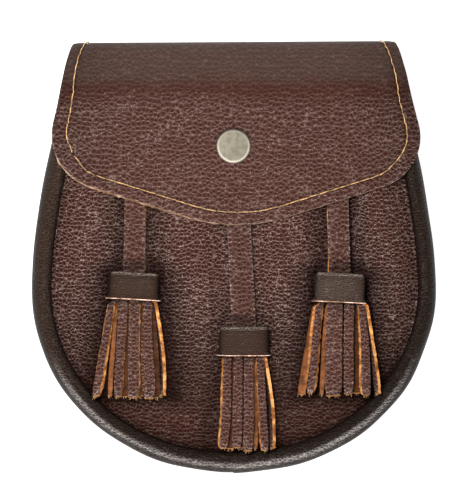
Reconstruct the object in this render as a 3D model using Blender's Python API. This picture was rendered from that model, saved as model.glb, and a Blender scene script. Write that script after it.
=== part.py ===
"""Day sporran: a leather pouch with a fold-over flap, a snap and three hanging tassels.

Metres, +Z up. The pouch lies on its back: +Z is its front, +Y runs up to the fold of the flap and
+X to the right of someone who looks at the front. The origin is below the middle of the pouch, on
the surface that it lies on.
"""

import math
from collections import namedtuple

import bmesh
import bpy
import numpy as np
from mathutils import Matrix, Vector

MM = 0.001
GAP = 0.3 * MM  # between pieces that touch or are sewn together

# Outline of the pouch, seen from the front
WIDTH = 178.0 * MM
HEIGHT = 189.2 * MM
TOP_Y = HEIGHT / 2
BOTTOM_Y = -HEIGHT / 2
WIDEST_Y = -12.5 * MM
BELOW_WIDEST = WIDEST_Y - BOTTOM_Y
BOTTOM_POWER = 2.07  # 2 would make the lower half an ellipse
TAPER_DROP = 1.98 * MM  # the side comes in by this much at TAPER_RUN above the widest line
TAPER_RUN = 24.2 * MM
TAPER_POWER = 1.6

# Gusset: a strip that turns out and back at the front and at the back, so that it makes two rolls
GUSSET_WALL = 1.6 * MM
RIM_WIDTH = 9.0 * MM  # from the outline in to the seam
ROLL_CREST_OUT = 3.6 * MM  # from the seam out to the top of a roll
ROLL_FALL = 8.5 * MM  # from a roll's top down to the flat side
FRONT_SEAM_DIP = 2.6 * MM  # how far the seam lies below the roll's top
BACK_SEAM_DIP = 6.2 * MM
CREST_AT_BOTTOM = 34.0 * MM  # height of the front roll
CREST_AT_MOUTH = 28.0 * MM
BACK_ROLL_END_Y = 72.5 * MM
MOUTH_Y = 84.0 * MM  # where the crest reaches its lowest height
GUSSET_END_CLEARANCE = 1.5 * MM  # inside the fold of the flap
SHOULDER_SLOPE = 5.0
PATH_COLUMNS = 41
ROLL_ROWS = 4

# Leather panels
BACK_WALL = 2.0 * MM
BACK_Z = BACK_SEAM_DIP + 0.5 * MM
BACK_TAB_HALF = 60.0 * MM
BACK_TAB_TOP_Y = 79.5 * MM
FRONT_WALL = 1.8 * MM
FRONT_TOP_Y = 66.0 * MM
SEAM_ALLOWANCE = 2.2 * MM  # the panels' edges run this far under the gusset's seams
FLANGE_DIP = 3.5 * MM  # the front panel's edge below the roll's top, under the seam
EDGE_RUN = 12.0 * MM  # the front panel swells to its full height over this distance
EDGE_POWER = 2.2
FRONT_COLUMNS = 34
FRONT_ROWS = 22
FRONT_GRID_CORNER_Y = -52.0 * MM
DOME_RISE = 9.0 * MM
DOME_POWER = 1.5
DOME_LOSS_AT_MOUTH = 0.55
DOME_LOSS_RUN = 75.0 * MM

# Valleys in the front panel, in which the straps lie
VALLEY_DEPTH = 4.2 * MM
VALLEY_FLOOR_HALF = 5.5 * MM
VALLEY_SHOULDER = 11.5 * MM
VALLEY_START_Y = 52.0 * MM
VALLEY_FULL_Y = 36.0 * MM

# Flap: a straight-sided pattern that wraps over the top, with a pointed lower edge
FLAP_WALL = 2.2 * MM
FLAP_CLEARANCE = 0.5 * MM
FOLD_Y = 70.0 * MM  # the front of the flap begins to turn back here
FOLD_HALF = 77.6 * MM
FOLD_MIDDLE_Z = 15.0 * MM
BACK_FOLD_Y = 80.0 * MM
LAP_END_Y = 58.0 * MM  # lower edge of the part that is sewn to the back
FLAP_TAPER = 0.222  # loss of half width for each metre along the leather
FLAP_LEAN = 0.022  # the flap hangs this much to the right of straight
FLAP_CORNER = (85.1 * MM, 37.3 * MM)
FLAP_CORNER_RADIUS = 24.0 * MM
FLAP_POINT_Y = 10.7 * MM
FLAP_POINT_RADIUS = 70.0 * MM
DROOP_START = 3.0 * MM  # outside the seam
DROOP_SHARE = 3.8  # metres of droop for each metre to the power 1.5
FLAP_COLUMNS = 23
FLAP_FRONT_ROWS = 11
FOLD_ROWS = 6

# Snap; a profile is a row of radii and heights in mm, from its part's seat
SNAP_XY = (0.0, 48.4 * MM)
SNAP_FLAT = 13.0 * MM  # radius that the leather is pressed flat to
SNAP_SHOULDER = 8.0 * MM
CAP_RADIUS = 7.5 * MM
CAP_DIMPLE = 0.8 * MM
STUD_DIMPLE = 4.6 * MM
FLAP_HOLE_RADIUS = 2.0 * MM
PANEL_HOLE_RADIUS = 1.8 * MM
CUTTER_DEPTH = 8.0 * MM
TURN_STEPS = 20
CAP_PROFILE = ((0.0, 2.1), (3.0, 2.0), (5.6, 1.6), (6.9, 1.0), (7.5, 0.4), (7.2, 0.0), (1.6, 0.0))
SOCKET_PROFILE = ((1.6, 0.0), (5.4, 0.0), (5.4, -2.2), (2.3, -2.2), (2.3, -0.5), (0.0, -0.5))
STUD_PROFILE = ((0.0, 2.3), (1.4, 2.3), (1.9, 1.9), (1.5, 0.8), (5.4, 0.7), (5.4, 0.0), (1.4, 0.0))
WASHER_PROFILE = ((1.4, 0.0), (4.6, 0.0), (4.6, -0.7), (0.0, -0.7))

# Straps, collars and tassels
STRAP_WALL = 2.0 * MM
STRAP_SEAT = 0.6 * MM
STRAP_BEARING = 5.5 * MM  # a strap bridges dips shorter than this
STRAP_RISE_RUN = 8.0 * MM  # a strap climbs to its collar over this distance
COLLAR_HALF_WIDTH = 11.0 * MM
COLLAR_HALF_DEPTH = 4.7 * MM
COLLAR_WALL = 1.3 * MM
COLLAR_POWER = 3.2
COLLAR_STEPS = 20
COLLAR_SEAT = 0.7 * MM
COLLAR_LIP = ((0.0, 2.0), (0.5, 1.0), (1.8, 0.0))  # mm below the top, mm turned in
COLLAR_FLARE = 0.2 * MM
HEAD_TOP = 2.6 * MM  # below the collar's top
HEAD_BOTTOM = 10.2 * MM
SLOT_BOTTOM = 8.0 * MM
STRIP_START = 8.4 * MM
STRIP_WALL = 1.5 * MM
STRIP_ROW_LIFT = 1.7 * MM
EXIT_WIDTH_SHARE = 0.7  # a strip's width in its collar, of its free width
FREE_WIDTH_BY = 0.4  # of a strip's length, where it has its free width and turn
LYING_AFTER = 0.3  # of a strip's length below its collar, where it lies on the leather
SPREAD_POWER = 0.85
STRIP_STATIONS = (0.2, 0.4, 0.68, 1.0)  # of a strip's length, below its collar
SLOT_MARGIN = 4.0 * MM  # of the slot's cutter above the collar
STRAP_END_CLEARANCE = 0.6 * MM  # between a strap's end and the bottom of its slot

# Belt loops on the back
LOOP_X = 36.0 * MM
LOOP_MIDDLE_Y = 26.0 * MM
LOOP_WIDTH = 22.0 * MM
LOOP_WALL = 2.0 * MM
LOOP_FLAT_HALF = 14.0 * MM  # of the part that stands off
LOOP_TAB_FROM = 17.0 * MM  # the sewn tab reaches from here to the end
LOOP_END = 25.0 * MM

# A strap with its collar and its tassel, in mm and degrees; its valley fades out between two heights
Hanger = namedtuple(
    "Hanger",
    "name strap_top_x strap_top_y strap_width collar_x collar_top_y collar_height tilt tip_y"
    " fade_from fade_to",
)
HANGERS = (
    Hanger("left", -43.0, 34.0, 9.5, -43.6, -6.9, 12.2, 3.2, -61.2, -32.0, -68.0),
    Hanger("middle", 1.6, 30.0, 10.6, 4.6, -30.5, 12.8, 0.0, -84.3, -48.0, -84.0),
    Hanger("right", 45.6, 34.0, 9.5, 46.6, -7.3, 13.0, 2.7, -60.5, -32.0, -68.0),
)

# One row for each strip of leather, in mm from the middle of its collar: where it leaves the
# collar, where its tip lies, its width, how far it is turned, and its row, which is 1 for the
# front, -1 for the back and 0 for a strip at the side, seen on its cut edge.
Strip = namedtuple("Strip", "exit tip width turn row")
STRIPS = {
    "left": (
        Strip(-7.6, -16.6, 4.0, 14, 1),
        Strip(-4.4, -7.0, 4.0, 8, 1),
        Strip(-0.8, -0.2, 4.6, 0, 1),
        Strip(3.2, 6.9, 5.2, -6, 1),
        Strip(8.1, 12.8, 3.8, 84, 0),
        Strip(-6.4, -12.4, 4.0, 12, -1),
        Strip(-2.2, -4.0, 4.0, 0, -1),
        Strip(1.6, 2.8, 4.0, 0, -1),
        Strip(5.1, 9.4, 4.0, 0, -1),
    ),
    "middle": (
        Strip(-8.1, -11.9, 3.8, 90, 0),
        Strip(-5.2, -8.4, 4.0, 8, 1),
        Strip(-1.8, -3.4, 4.4, 4, 1),
        Strip(1.8, 1.6, 4.2, 0, 1),
        Strip(5.2, 8.7, 3.8, -8, 1),
        Strip(8.1, 12.9, 3.8, 84, 0),
        Strip(-4.8, -6.0, 4.0, 0, -1),
        Strip(-1.2, -0.9, 4.0, 0, -1),
        Strip(2.6, 5.2, 4.0, 0, -1),
    ),
    "right": (
        Strip(-8.1, -16.3, 3.8, 80, 0),
        Strip(-5.6, -12.2, 4.0, 14, 1),
        Strip(-1.2, -3.0, 7.2, 4, 1),
        Strip(3.4, 3.5, 4.2, 0, 1),
        Strip(8.1, 16.2, 3.8, 84, 0),
        Strip(-5.0, -9.2, 4.0, 0, -1),
        Strip(-1.4, -2.2, 4.0, 0, -1),
        Strip(1.9, 4.4, 4.0, 0, -1),
        Strip(5.2, 11.2, 4.0, 0, -1),
    ),
}

Finish = namedtuple("Finish", "color roughness metallic")
FINISHES = {
    "brown_leather": Finish((0.105, 0.050, 0.038, 1.0), 0.55, 0.0),
    "dark_leather": Finish((0.047, 0.029, 0.021, 1.0), 0.50, 0.0),
    "tassel_leather": Finish((0.120, 0.058, 0.043, 1.0), 0.60, 0.0),
    "nickel": Finish((0.560, 0.530, 0.440, 1.0), 0.38, 1.0),
}


def smoothstep(value):
    """0 below 0, 1 above 1, with an even curve between."""
    t = np.clip(value, 0.0, 1.0)
    return t * t * (3.0 - 2.0 * t)


# ---------------------------------------------------------------- the pouch's form


def side_half_width(y):
    """Half width of the outline above its widest line."""
    above = np.maximum(y - WIDEST_Y, 0.0)
    return WIDTH / 2 - TAPER_DROP * (above / TAPER_RUN) ** TAPER_POWER


def outline_share(x, y):
    """0 at the middle of the pouch and 1 on its outline."""
    side = np.abs(x) / side_half_width(y)
    low_x = np.abs(x) / (WIDTH / 2)
    low_y = np.abs(y - WIDEST_Y) / BELOW_WIDEST
    low = (low_x**BOTTOM_POWER + low_y**BOTTOM_POWER) ** (1 / BOTTOM_POWER)
    return np.where(y < WIDEST_Y, low, side)


def inset(x, y):
    """How far a point lies inside the outline."""
    share = np.maximum(outline_share(x, y), 1e-6)
    low = np.hypot(x, y - WIDEST_Y) * (1 / share - 1)
    above = np.maximum(y - WIDEST_Y, 0.0)
    slope = TAPER_DROP * TAPER_POWER / TAPER_RUN * (above / TAPER_RUN) ** (TAPER_POWER - 1)
    side = (side_half_width(y) - np.abs(x)) / np.sqrt(1 + slope**2)
    return np.where(y < WIDEST_Y, low, side)


def outline_path(end_y, count):
    """Evenly spaced points of the outline and their outward normals, from the left end at end_y
    round the bottom to the right end."""
    side_y = np.linspace(end_y, WIDEST_Y, 80, endpoint=False)
    side_x = side_half_width(side_y)
    turn = np.linspace(0.0, math.pi, 161)
    power = 2 / BOTTOM_POWER
    low_x = -np.sign(np.cos(turn)) * np.abs(np.cos(turn)) ** power * WIDTH / 2
    low_y = WIDEST_Y - np.abs(np.sin(turn)) ** power * BELOW_WIDEST
    x = np.concatenate([-side_x, low_x, side_x[::-1]])
    y = np.concatenate([side_y, low_y, side_y[::-1]])
    length = np.concatenate([[0.0], np.cumsum(np.hypot(np.diff(x), np.diff(y)))])
    at = np.linspace(0.0, length[-1], count)
    points = np.stack([np.interp(at, length, x), np.interp(at, length, y)], 1)
    step = length[-1] / 200
    ahead = np.minimum(at + step, length[-1])
    behind = np.maximum(at - step, 0.0)
    along = np.stack(
        [np.interp(ahead, length, v) - np.interp(behind, length, v) for v in (x, y)], 1
    )
    along /= np.linalg.norm(along, axis=1, keepdims=True)
    normals = np.stack([along[:, 1], -along[:, 0]], 1)
    return points, normals


def crest(y):
    """Height of the gusset's front roll."""
    share = np.clip((MOUTH_Y - y) / (MOUTH_Y - BOTTOM_Y), 0.0, 1.0)
    return CREST_AT_MOUTH + (CREST_AT_BOTTOM - CREST_AT_MOUTH) * share


def envelope(x, y):
    """The smooth dome over the pouch's front, without its valleys."""
    rise = DOME_RISE * (1 - DOME_LOSS_AT_MOUTH * smoothstep(y / DOME_LOSS_RUN))
    share = np.minimum(outline_share(x, y), 1.0)
    return crest(y) + rise * (1 - share**2) ** DOME_POWER


def strap_line(hanger, y):
    """Where a hanger's strap, and the valley that it lies in, runs."""
    top, low = hanger.strap_top_y * MM, hanger.collar_top_y * MM
    share = np.clip((top - y) / (top - low), 0.0, 1.0)
    return (hanger.strap_top_x + (hanger.collar_x - hanger.strap_top_x) * share) * MM


def valleys(x, y):
    """How far the valleys sink below the dome."""
    depth = 0.0
    for hanger in HANGERS:
        begun = smoothstep((VALLEY_START_Y - y) / (VALLEY_START_Y - VALLEY_FULL_Y))
        fade_run = (hanger.fade_from - hanger.fade_to) * MM
        faded = smoothstep((y - hanger.fade_to * MM) / fade_run)
        beside = np.abs(x - strap_line(hanger, y)) - VALLEY_FLOOR_HALF
        depth = depth + begun * faded * (1 - smoothstep(beside / VALLEY_SHOULDER))
    return VALLEY_DEPTH * depth


def pressed(height, x, y, dimple):
    """A height with the leather round the snap pressed flat, dimple below the dome."""
    distance = np.hypot(x - SNAP_XY[0], y - SNAP_XY[1])
    flat = 1 - smoothstep((distance - SNAP_FLAT) / SNAP_SHOULDER)
    return height * (1 - flat) + (envelope(*SNAP_XY) - dimple) * flat


def front_height(x, y):
    """Outer face of the front panel: a swollen edge inside the seam, then dome and valleys."""
    flange = crest(y) - FLANGE_DIP
    inside = np.clip((inset(x, y) - RIM_WIDTH) / EDGE_RUN, 0.0, 1.0)
    swell = 1 - (1 - inside) ** EDGE_POWER
    soft = flange + (envelope(x, y) - valleys(x, y) - flange) * swell
    return pressed(soft, x, y, STUD_DIMPLE)


def flap_height(x, y):
    """Outer face of the flap where it lies on the pouch's front."""
    outside = np.maximum(RIM_WIDTH - inset(x, y) - DROOP_START, 0.0)
    lying = pressed(envelope(x, y), x, y, CAP_DIMPLE) - DROOP_SHARE * outside**1.5
    return lying + FLAP_CLEARANCE + FLAP_WALL


# ---------------------------------------------------------------- ways of making a piece


def add_object(name, mesh, finish):
    """A named object with its own material."""
    obj = bpy.data.objects.new(name, mesh)
    bpy.context.scene.collection.objects.link(obj)
    material = bpy.data.materials.new(name)
    material.use_nodes = True
    shader = material.node_tree.nodes["Principled BSDF"]
    look = FINISHES[finish]
    shader.inputs["Base Color"].default_value = look.color
    shader.inputs["Roughness"].default_value = look.roughness
    shader.inputs["Metallic"].default_value = look.metallic
    material.diffuse_color = look.color
    mesh.materials.append(material)
    mesh.shade_smooth()
    mesh.set_sharp_from_angle(angle=math.radians(40))
    return obj


def grid_mesh(name, grid, closed=False):
    """A mesh of quads from rows by columns of points; closed joins the last column to the first."""
    rows, columns = grid.shape[:2]
    steps = columns if closed else columns - 1
    faces = []
    for r in range(rows - 1):
        for c in range(steps):
            d = (c + 1) % columns
            low, high = r * columns, (r + 1) * columns
            faces.append((low + c, low + d, high + d, high + c))
    mesh = bpy.data.meshes.new(name)
    mesh.from_pydata(grid.reshape(-1, 3).tolist(), [], faces)
    return mesh


def leather(name, grid, wall, finish, closed=False):
    """A sheet of leather whose outer face is grid and whose wall lies behind that face."""
    obj = add_object(name, grid_mesh(name, grid, closed), finish)
    thickness = obj.modifiers.new("Wall", "SOLIDIFY")
    thickness.thickness = wall
    thickness.offset = -1.0
    thickness.use_even_offset = True
    return obj


def turned(name, profile, finish):
    """A solid of revolution about Z, placed over the snap, from (radius, height) points."""
    work = bmesh.new()
    verts = [work.verts.new((radius, 0.0, height)) for radius, height in profile]
    edges = [work.edges.new(pair) for pair in zip(verts, verts[1:])]
    bmesh.ops.spin(
        work, geom=verts + edges, cent=(0, 0, 0), axis=(0, 0, 1), angle=math.tau, steps=TURN_STEPS
    )
    bmesh.ops.remove_doubles(work, verts=work.verts, dist=0.00001)
    bmesh.ops.recalc_face_normals(work, faces=work.faces)
    mesh = bpy.data.meshes.new(name)
    work.to_mesh(mesh)
    work.free()
    obj = add_object(name, mesh, finish)
    obj.location = (SNAP_XY[0], SNAP_XY[1], 0.0)
    return obj


def guide(name, mesh):
    """A cutter or a shape to be fused: it isn't a piece of the pouch."""
    obj = bpy.data.objects.new(name, mesh)
    bpy.context.scene.collection.objects.link(obj)
    obj.hide_render = True
    obj.display_type = "WIRE"
    return obj


def combine(obj, other, operation):
    """Fuses other into obj, or cuts it out."""
    boolean = obj.modifiers.new(operation.title(), "BOOLEAN")
    boolean.operation = operation
    boolean.solver = "EXACT"
    boolean.object = other


def round_cutter(name, radius, middle_z):
    """An upright cylinder at the snap, for a hole through the leather."""
    work = bmesh.new()
    bmesh.ops.create_cone(
        work, cap_ends=True, segments=TURN_STEPS, radius1=radius, radius2=radius, depth=CUTTER_DEPTH
    )
    mesh = bpy.data.meshes.new(name)
    work.to_mesh(mesh)
    work.free()
    cutter = guide(name, mesh)
    cutter.location = (SNAP_XY[0], SNAP_XY[1], middle_z)
    return cutter


def fillet(before, corner, after, radius, steps):
    """Points of the arc that rounds a corner."""
    corner = Vector(corner)
    a = (Vector(before) - corner).normalized()
    b = (Vector(after) - corner).normalized()
    half = a.angle(b) / 2
    centre = corner + (a + b).normalized() * radius / math.sin(half)
    start = corner + a * radius / math.tan(half) - centre
    end = corner + b * radius / math.tan(half) - centre
    sweep = start.angle_signed(end)
    points = []
    for i in range(steps + 1):
        spoke = start.copy()
        spoke.rotate(Matrix.Rotation(-sweep * i / steps, 2))
        points.append(centre + spoke)
    return [tuple(p) for p in points]


def resampled(points, shares):
    """The points at these shares of a polyline's length."""
    points = np.array(points)
    length = np.concatenate([[0.0], np.cumsum(np.linalg.norm(np.diff(points, axis=0), axis=1))])
    return np.stack([np.interp(shares * length[-1], length, points[:, k]) for k in (0, 1)], 1)


def closer_at_ends(count):
    """Shares from 0 to 1 whose steps are shorter at both ends."""
    even = np.linspace(0.0, 1.0, count)
    return (even + (1 - np.cos(math.pi * even)) / 2) / 2


def patch(left, right, bottom, top, v, u):
    """Rows by columns of plane points that fill four border curves, at the shares v and u. left and
    right run upwards, bottom and top to the right, and they share their end points."""
    v = v[:, None, None]
    u = u[None, :, None]
    ruled = (1 - v) * bottom[None] + v * top[None] + (1 - u) * left[:, None] + u * right[:, None]
    corners = (1 - u) * ((1 - v) * bottom[0] + v * top[0]) + u * ((1 - v) * bottom[-1] + v * top[-1])
    return ruled - corners


def lifted(plane, height):
    """Plane points with their heights."""
    return np.dstack([plane, height(plane[..., 0], plane[..., 1])])


# ---------------------------------------------------------------- pouch


def inside_fold(x, y, z):
    """Whether a point lies well inside the fold of the flap."""
    front = z > FOLD_MIDDLE_Z
    fold_y = FOLD_Y if front else BACK_FOLD_Y
    under = float(flap_height(x, y)) - FLAP_WALL if front else BACK_Z - GAP
    reach = abs(under - FOLD_MIDDLE_Z) - GUSSET_END_CLEARANCE
    run = TOP_Y - FLAP_WALL - GUSSET_END_CLEARANCE - fold_y
    return (max(y - fold_y, 0.0) / run) ** 2 + ((z - FOLD_MIDDLE_Z) / reach) ** 2 <= 1.0


def gusset_end_y(out, level, at_front):
    """Where one line of the gusset stops: at the flap's fold, or at the back panel's shoulder."""
    for y in np.arange(TOP_Y, BACK_ROLL_END_Y, -0.25 * MM):
        x = float(side_half_width(y)) - RIM_WIDTH + out
        z = float(crest(y)) - level if at_front else level
        shoulder = BACK_ROLL_END_Y + SHOULDER_SLOPE * (z - BACK_Z)
        if y < shoulder and inside_fold(x, y, z):
            return y
    return BACK_ROLL_END_Y


def make_gusset():
    """The strip round the sides and bottom, from its back seam to its front seam."""
    quarter = np.linspace(0.0, math.pi / 2, ROLL_ROWS + 1)
    fall_out = RIM_WIDTH - ROLL_CREST_OUT
    section = []  # (out from the seam, height above the floor or below the crest, at the front)
    for a in quarter[::-1]:
        section.append((ROLL_CREST_OUT * (1 - math.sin(a)), BACK_SEAM_DIP * (1 - math.cos(a)), False))
    for a in quarter[1:]:
        section.append((ROLL_CREST_OUT + fall_out * math.sin(a), ROLL_FALL * (1 - math.cos(a)), False))
    for a in quarter[::-1]:
        section.append((ROLL_CREST_OUT + fall_out * math.sin(a), ROLL_FALL * (1 - math.cos(a)), True))
    for a in quarter[1:]:
        section.append((ROLL_CREST_OUT * (1 - math.sin(a)), FRONT_SEAM_DIP * (1 - math.cos(a)), True))
    rows = []
    for out, level, at_front in section:
        points, normals = outline_path(gusset_end_y(out, level, at_front), PATH_COLUMNS)
        plane = points - normals * (RIM_WIDTH - out)
        z = crest(points[:, 1]) - level if at_front else np.full(len(points), level)
        rows.append(np.column_stack([plane, z]))
    leather("gusset", np.array(rows), GUSSET_WALL, "dark_leather")


def seam_allowance_path(end_y, count):
    """The panels' edge, a little outside the gusset's seam."""
    points, normals = outline_path(end_y, count)
    return points - normals * (RIM_WIDTH - SEAM_ALLOWANCE)


def make_back_panel():
    """Flat back, with a narrower tab that runs up inside the fold of the flap."""
    edge = seam_allowance_path(BACK_ROLL_END_Y, PATH_COLUMNS)
    shoulder_y = BACK_ROLL_END_Y
    tab = [
        (BACK_TAB_HALF, shoulder_y),
        (BACK_TAB_HALF, BACK_TAB_TOP_Y),
        (-BACK_TAB_HALF, BACK_TAB_TOP_Y),
        (-BACK_TAB_HALF, shoulder_y),
    ]
    corners = [(x, y, BACK_Z) for x, y in [*edge.tolist(), *tab]]
    mesh = bpy.data.meshes.new("back_panel")
    mesh.from_pydata(corners[::-1], [], [tuple(range(len(corners)))])
    obj = add_object("back_panel", mesh, "brown_leather")
    thickness = obj.modifiers.new("Wall", "SOLIDIFY")
    thickness.thickness = BACK_WALL
    thickness.offset = -1.0


def make_front_panel():
    """Domed front with three valleys; its upper edge is the pouch's mouth."""
    u, v = closer_at_ends(FRONT_COLUMNS), np.linspace(0.0, 1.0, FRONT_ROWS)
    edge = seam_allowance_path(FRONT_TOP_Y, 241)
    low_corner = np.argmin(np.abs(edge[:120, 1] - FRONT_GRID_CORNER_Y))
    left = resampled(edge[: low_corner + 1], v)[::-1]
    bottom = resampled(edge[low_corner : len(edge) - low_corner], u)
    right = resampled(edge[len(edge) - low_corner - 1 :], v)
    top = resampled((edge[0], edge[-1]), u)
    grid = lifted(patch(left, right, bottom, top, v, u), front_height)
    obj = leather("front_panel", grid, FRONT_WALL, "brown_leather")
    panel_top = float(envelope(*SNAP_XY)) - STUD_DIMPLE
    cutter = round_cutter("stud_hole_cutter", PANEL_HOLE_RADIUS, panel_top - FRONT_WALL / 2)
    combine(obj, cutter, "DIFFERENCE")


# ---------------------------------------------------------------- flap and snap


def flap_front_plane():
    """The part of the flap's pattern that lies on the front, below the fold."""
    corner_x, corner_y = FLAP_CORNER
    point = (0.0, FLAP_POINT_Y)
    side = (FOLD_HALF, FOLD_Y)
    corner = fillet(point, (corner_x, corner_y), side, FLAP_CORNER_RADIUS, 16)
    tip = fillet((-corner_x, corner_y), point, (corner_x, corner_y), FLAP_POINT_RADIUS, 16)
    mirrored = [(-x, y) for x, y in corner[::-1]]
    middle = len(corner) // 2
    u, v = closer_at_ends(FLAP_COLUMNS), np.linspace(0.0, 1.0, FLAP_FRONT_ROWS)
    right = resampled(corner[middle:] + [side], v)
    bottom = resampled(mirrored[middle:] + tip + corner[: middle + 1], u)
    top = resampled(((-FOLD_HALF, FOLD_Y), side), u)
    return patch(right * (-1, 1), right, bottom, top, v, u)


def flap_grid():
    """The flap's outer face, from its pointed edge over the fold to the lap on the back."""
    plane = flap_front_plane()
    plane[..., 0] += FLAP_LEAN * (TOP_Y - plane[..., 1])
    rows = list(lifted(plane, flap_height))
    across = closer_at_ends(FLAP_COLUMNS) * 2 - 1
    half = FOLD_HALF
    y, z = FOLD_Y, float(flap_height(0.0, FOLD_Y))
    lap_z = BACK_Z - GAP - FLAP_WALL
    turns = [(a, True) for a in np.linspace(0, math.pi / 2, FOLD_ROWS + 1)[1:]]
    turns += [(a, False) for a in np.linspace(math.pi / 2, 0, FOLD_ROWS + 1)[1:]]
    for angle, at_front in turns:
        fold_y = FOLD_Y if at_front else BACK_FOLD_Y
        new_y = fold_y + (TOP_Y - fold_y) * math.sin(angle)
        reach = float(flap_height(0.0, new_y)) if at_front else lap_z
        new_z = FOLD_MIDDLE_Z + (reach - FOLD_MIDDLE_Z) * math.cos(angle)
        half -= FLAP_TAPER * math.hypot(new_y - y, new_z - z)
        y, z = new_y, new_z
        x = across * half + (FLAP_LEAN * (TOP_Y - y) if at_front else 0.0)
        face = flap_height(x, y) if at_front else lap_z
        row_z = FOLD_MIDDLE_Z + (face - FOLD_MIDDLE_Z) * math.cos(angle)
        rows.append(np.column_stack([x, np.full_like(x, y), np.broadcast_to(row_z, x.shape)]))
    lap_half = half - FLAP_TAPER * (BACK_FOLD_Y - LAP_END_Y)
    lap = (across * lap_half, np.full_like(across, LAP_END_Y), np.full_like(across, lap_z))
    rows.append(np.column_stack(lap))
    return np.array(rows)


def make_flap():
    obj = leather("flap", flap_grid(), FLAP_WALL, "brown_leather")
    flap_under = float(envelope(*SNAP_XY)) - CAP_DIMPLE + FLAP_CLEARANCE
    cutter = round_cutter("cap_hole_cutter", FLAP_HOLE_RADIUS, flap_under + FLAP_WALL / 2)
    combine(obj, cutter, "DIFFERENCE")


def raised(profile, seat):
    """A profile of radii and heights in mm, in metres and standing on its seat."""
    return [(radius * MM, seat + height * MM) for radius, height in profile]


def make_snap():
    """The cap is riveted through the flap to its socket, and the stud to the front panel."""
    dome = float(envelope(*SNAP_XY))
    flap_under = dome - CAP_DIMPLE + FLAP_CLEARANCE
    cap = raised(CAP_PROFILE, flap_under + FLAP_WALL + GAP)
    cap += raised(SOCKET_PROFILE, flap_under - GAP)
    turned("snap_cap", cap, "nickel")
    panel_top = dome - STUD_DIMPLE
    stud = raised(STUD_PROFILE, panel_top + GAP)
    stud += raised(WASHER_PROFILE, panel_top - FRONT_WALL - GAP)
    turned("snap_stud", stud, "nickel")


# ---------------------------------------------------------------- straps, collars and tassels


def collar_frame(hanger):
    """Turns points of a collar's own frame, x across, y up and z out from its middle, into place.
    The collar rests on the sides of its valley and follows the slope of the dome."""
    x = hanger.collar_x * MM
    height = hanger.collar_height * MM
    y = hanger.collar_top_y * MM - height / 2
    fall = float(envelope(x, y + height / 2) - envelope(x, y - height / 2))
    pitch = math.atan2(fall, height)
    share, along = np.meshgrid(np.linspace(-1, 1, 21), np.linspace(-height / 2, height / 2, 7))
    underside = COLLAR_HALF_DEPTH * (1 - np.abs(share) ** COLLAR_POWER) ** (1 / COLLAR_POWER)
    leather_z = front_height(x + share * COLLAR_HALF_WIDTH, y + along)
    z = float((leather_z - along * math.sin(pitch) + underside).max()) + COLLAR_SEAT
    lean = Matrix.Rotation(math.radians(-hanger.tilt), 4, "Z") @ Matrix.Rotation(pitch, 4, "X")
    return Matrix.Translation((x, y, z)) @ lean


def ring(half_x, half_z, y):
    """A rounded loop across a collar, anticlockwise as seen from below."""
    points = []
    for i in range(COLLAR_STEPS):
        a = math.tau * i / COLLAR_STEPS
        c, s = math.cos(a), math.sin(a)
        points.append(
            (
                half_x * math.copysign(abs(c) ** (2 / COLLAR_POWER), c),
                y,
                half_z * math.copysign(abs(s) ** (2 / COLLAR_POWER), s),
            )
        )
    return points


def make_collar(hanger):
    """A band round the head of the tassel, turned in at its top and flared a little at its foot."""
    top = hanger.collar_height * MM / 2
    lip = [(top - below * MM, turn_in * MM) for below, turn_in in COLLAR_LIP]
    rows = [*lip, (0.0, 0.0), (-top, -COLLAR_FLARE)]
    loops = [ring(COLLAR_HALF_WIDTH - turn_in, COLLAR_HALF_DEPTH - turn_in, y) for y, turn_in in rows]
    obj = leather(f"collar_{hanger.name}", np.array(loops), COLLAR_WALL, "dark_leather", closed=True)
    obj.matrix_world = collar_frame(hanger)


def make_strap(hanger):
    """A strap that lies in its valley and climbs into the top of its collar."""
    frame = collar_frame(hanger)
    half = hanger.strap_width * MM / 2
    top_y, collar_y = hanger.strap_top_y * MM, hanger.collar_top_y * MM
    end_y = collar_y - SLOT_BOTTOM + STRAP_END_CLEARANCE
    free_y = collar_y + STRAP_RISE_RUN
    stations = [*np.linspace(end_y, collar_y, 3)]
    stations += [*np.linspace(collar_y, free_y, 5)[1:], *np.linspace(free_y, top_y, 7)[1:]]
    rows = []
    for y in stations:
        x = float(strap_line(hanger, y))
        across = np.linspace(x - half, x + half, 3)
        beside, along = np.meshgrid(across, (y - STRAP_BEARING, y, y + STRAP_BEARING))
        valley = float(front_height(beside, along).max()) + STRAP_SEAT + STRAP_WALL
        middle = frame @ Vector((0.0, y - frame.translation.y, 0.0))
        held = middle.z + STRAP_WALL / 2
        climb = smoothstep((free_y - y) / STRAP_RISE_RUN)
        z = valley + (held - valley) * climb
        rows.append([(a, y, z) for a in across])
    leather(f"strap_{hanger.name}", np.array(rows), STRAP_WALL, "brown_leather")


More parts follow.
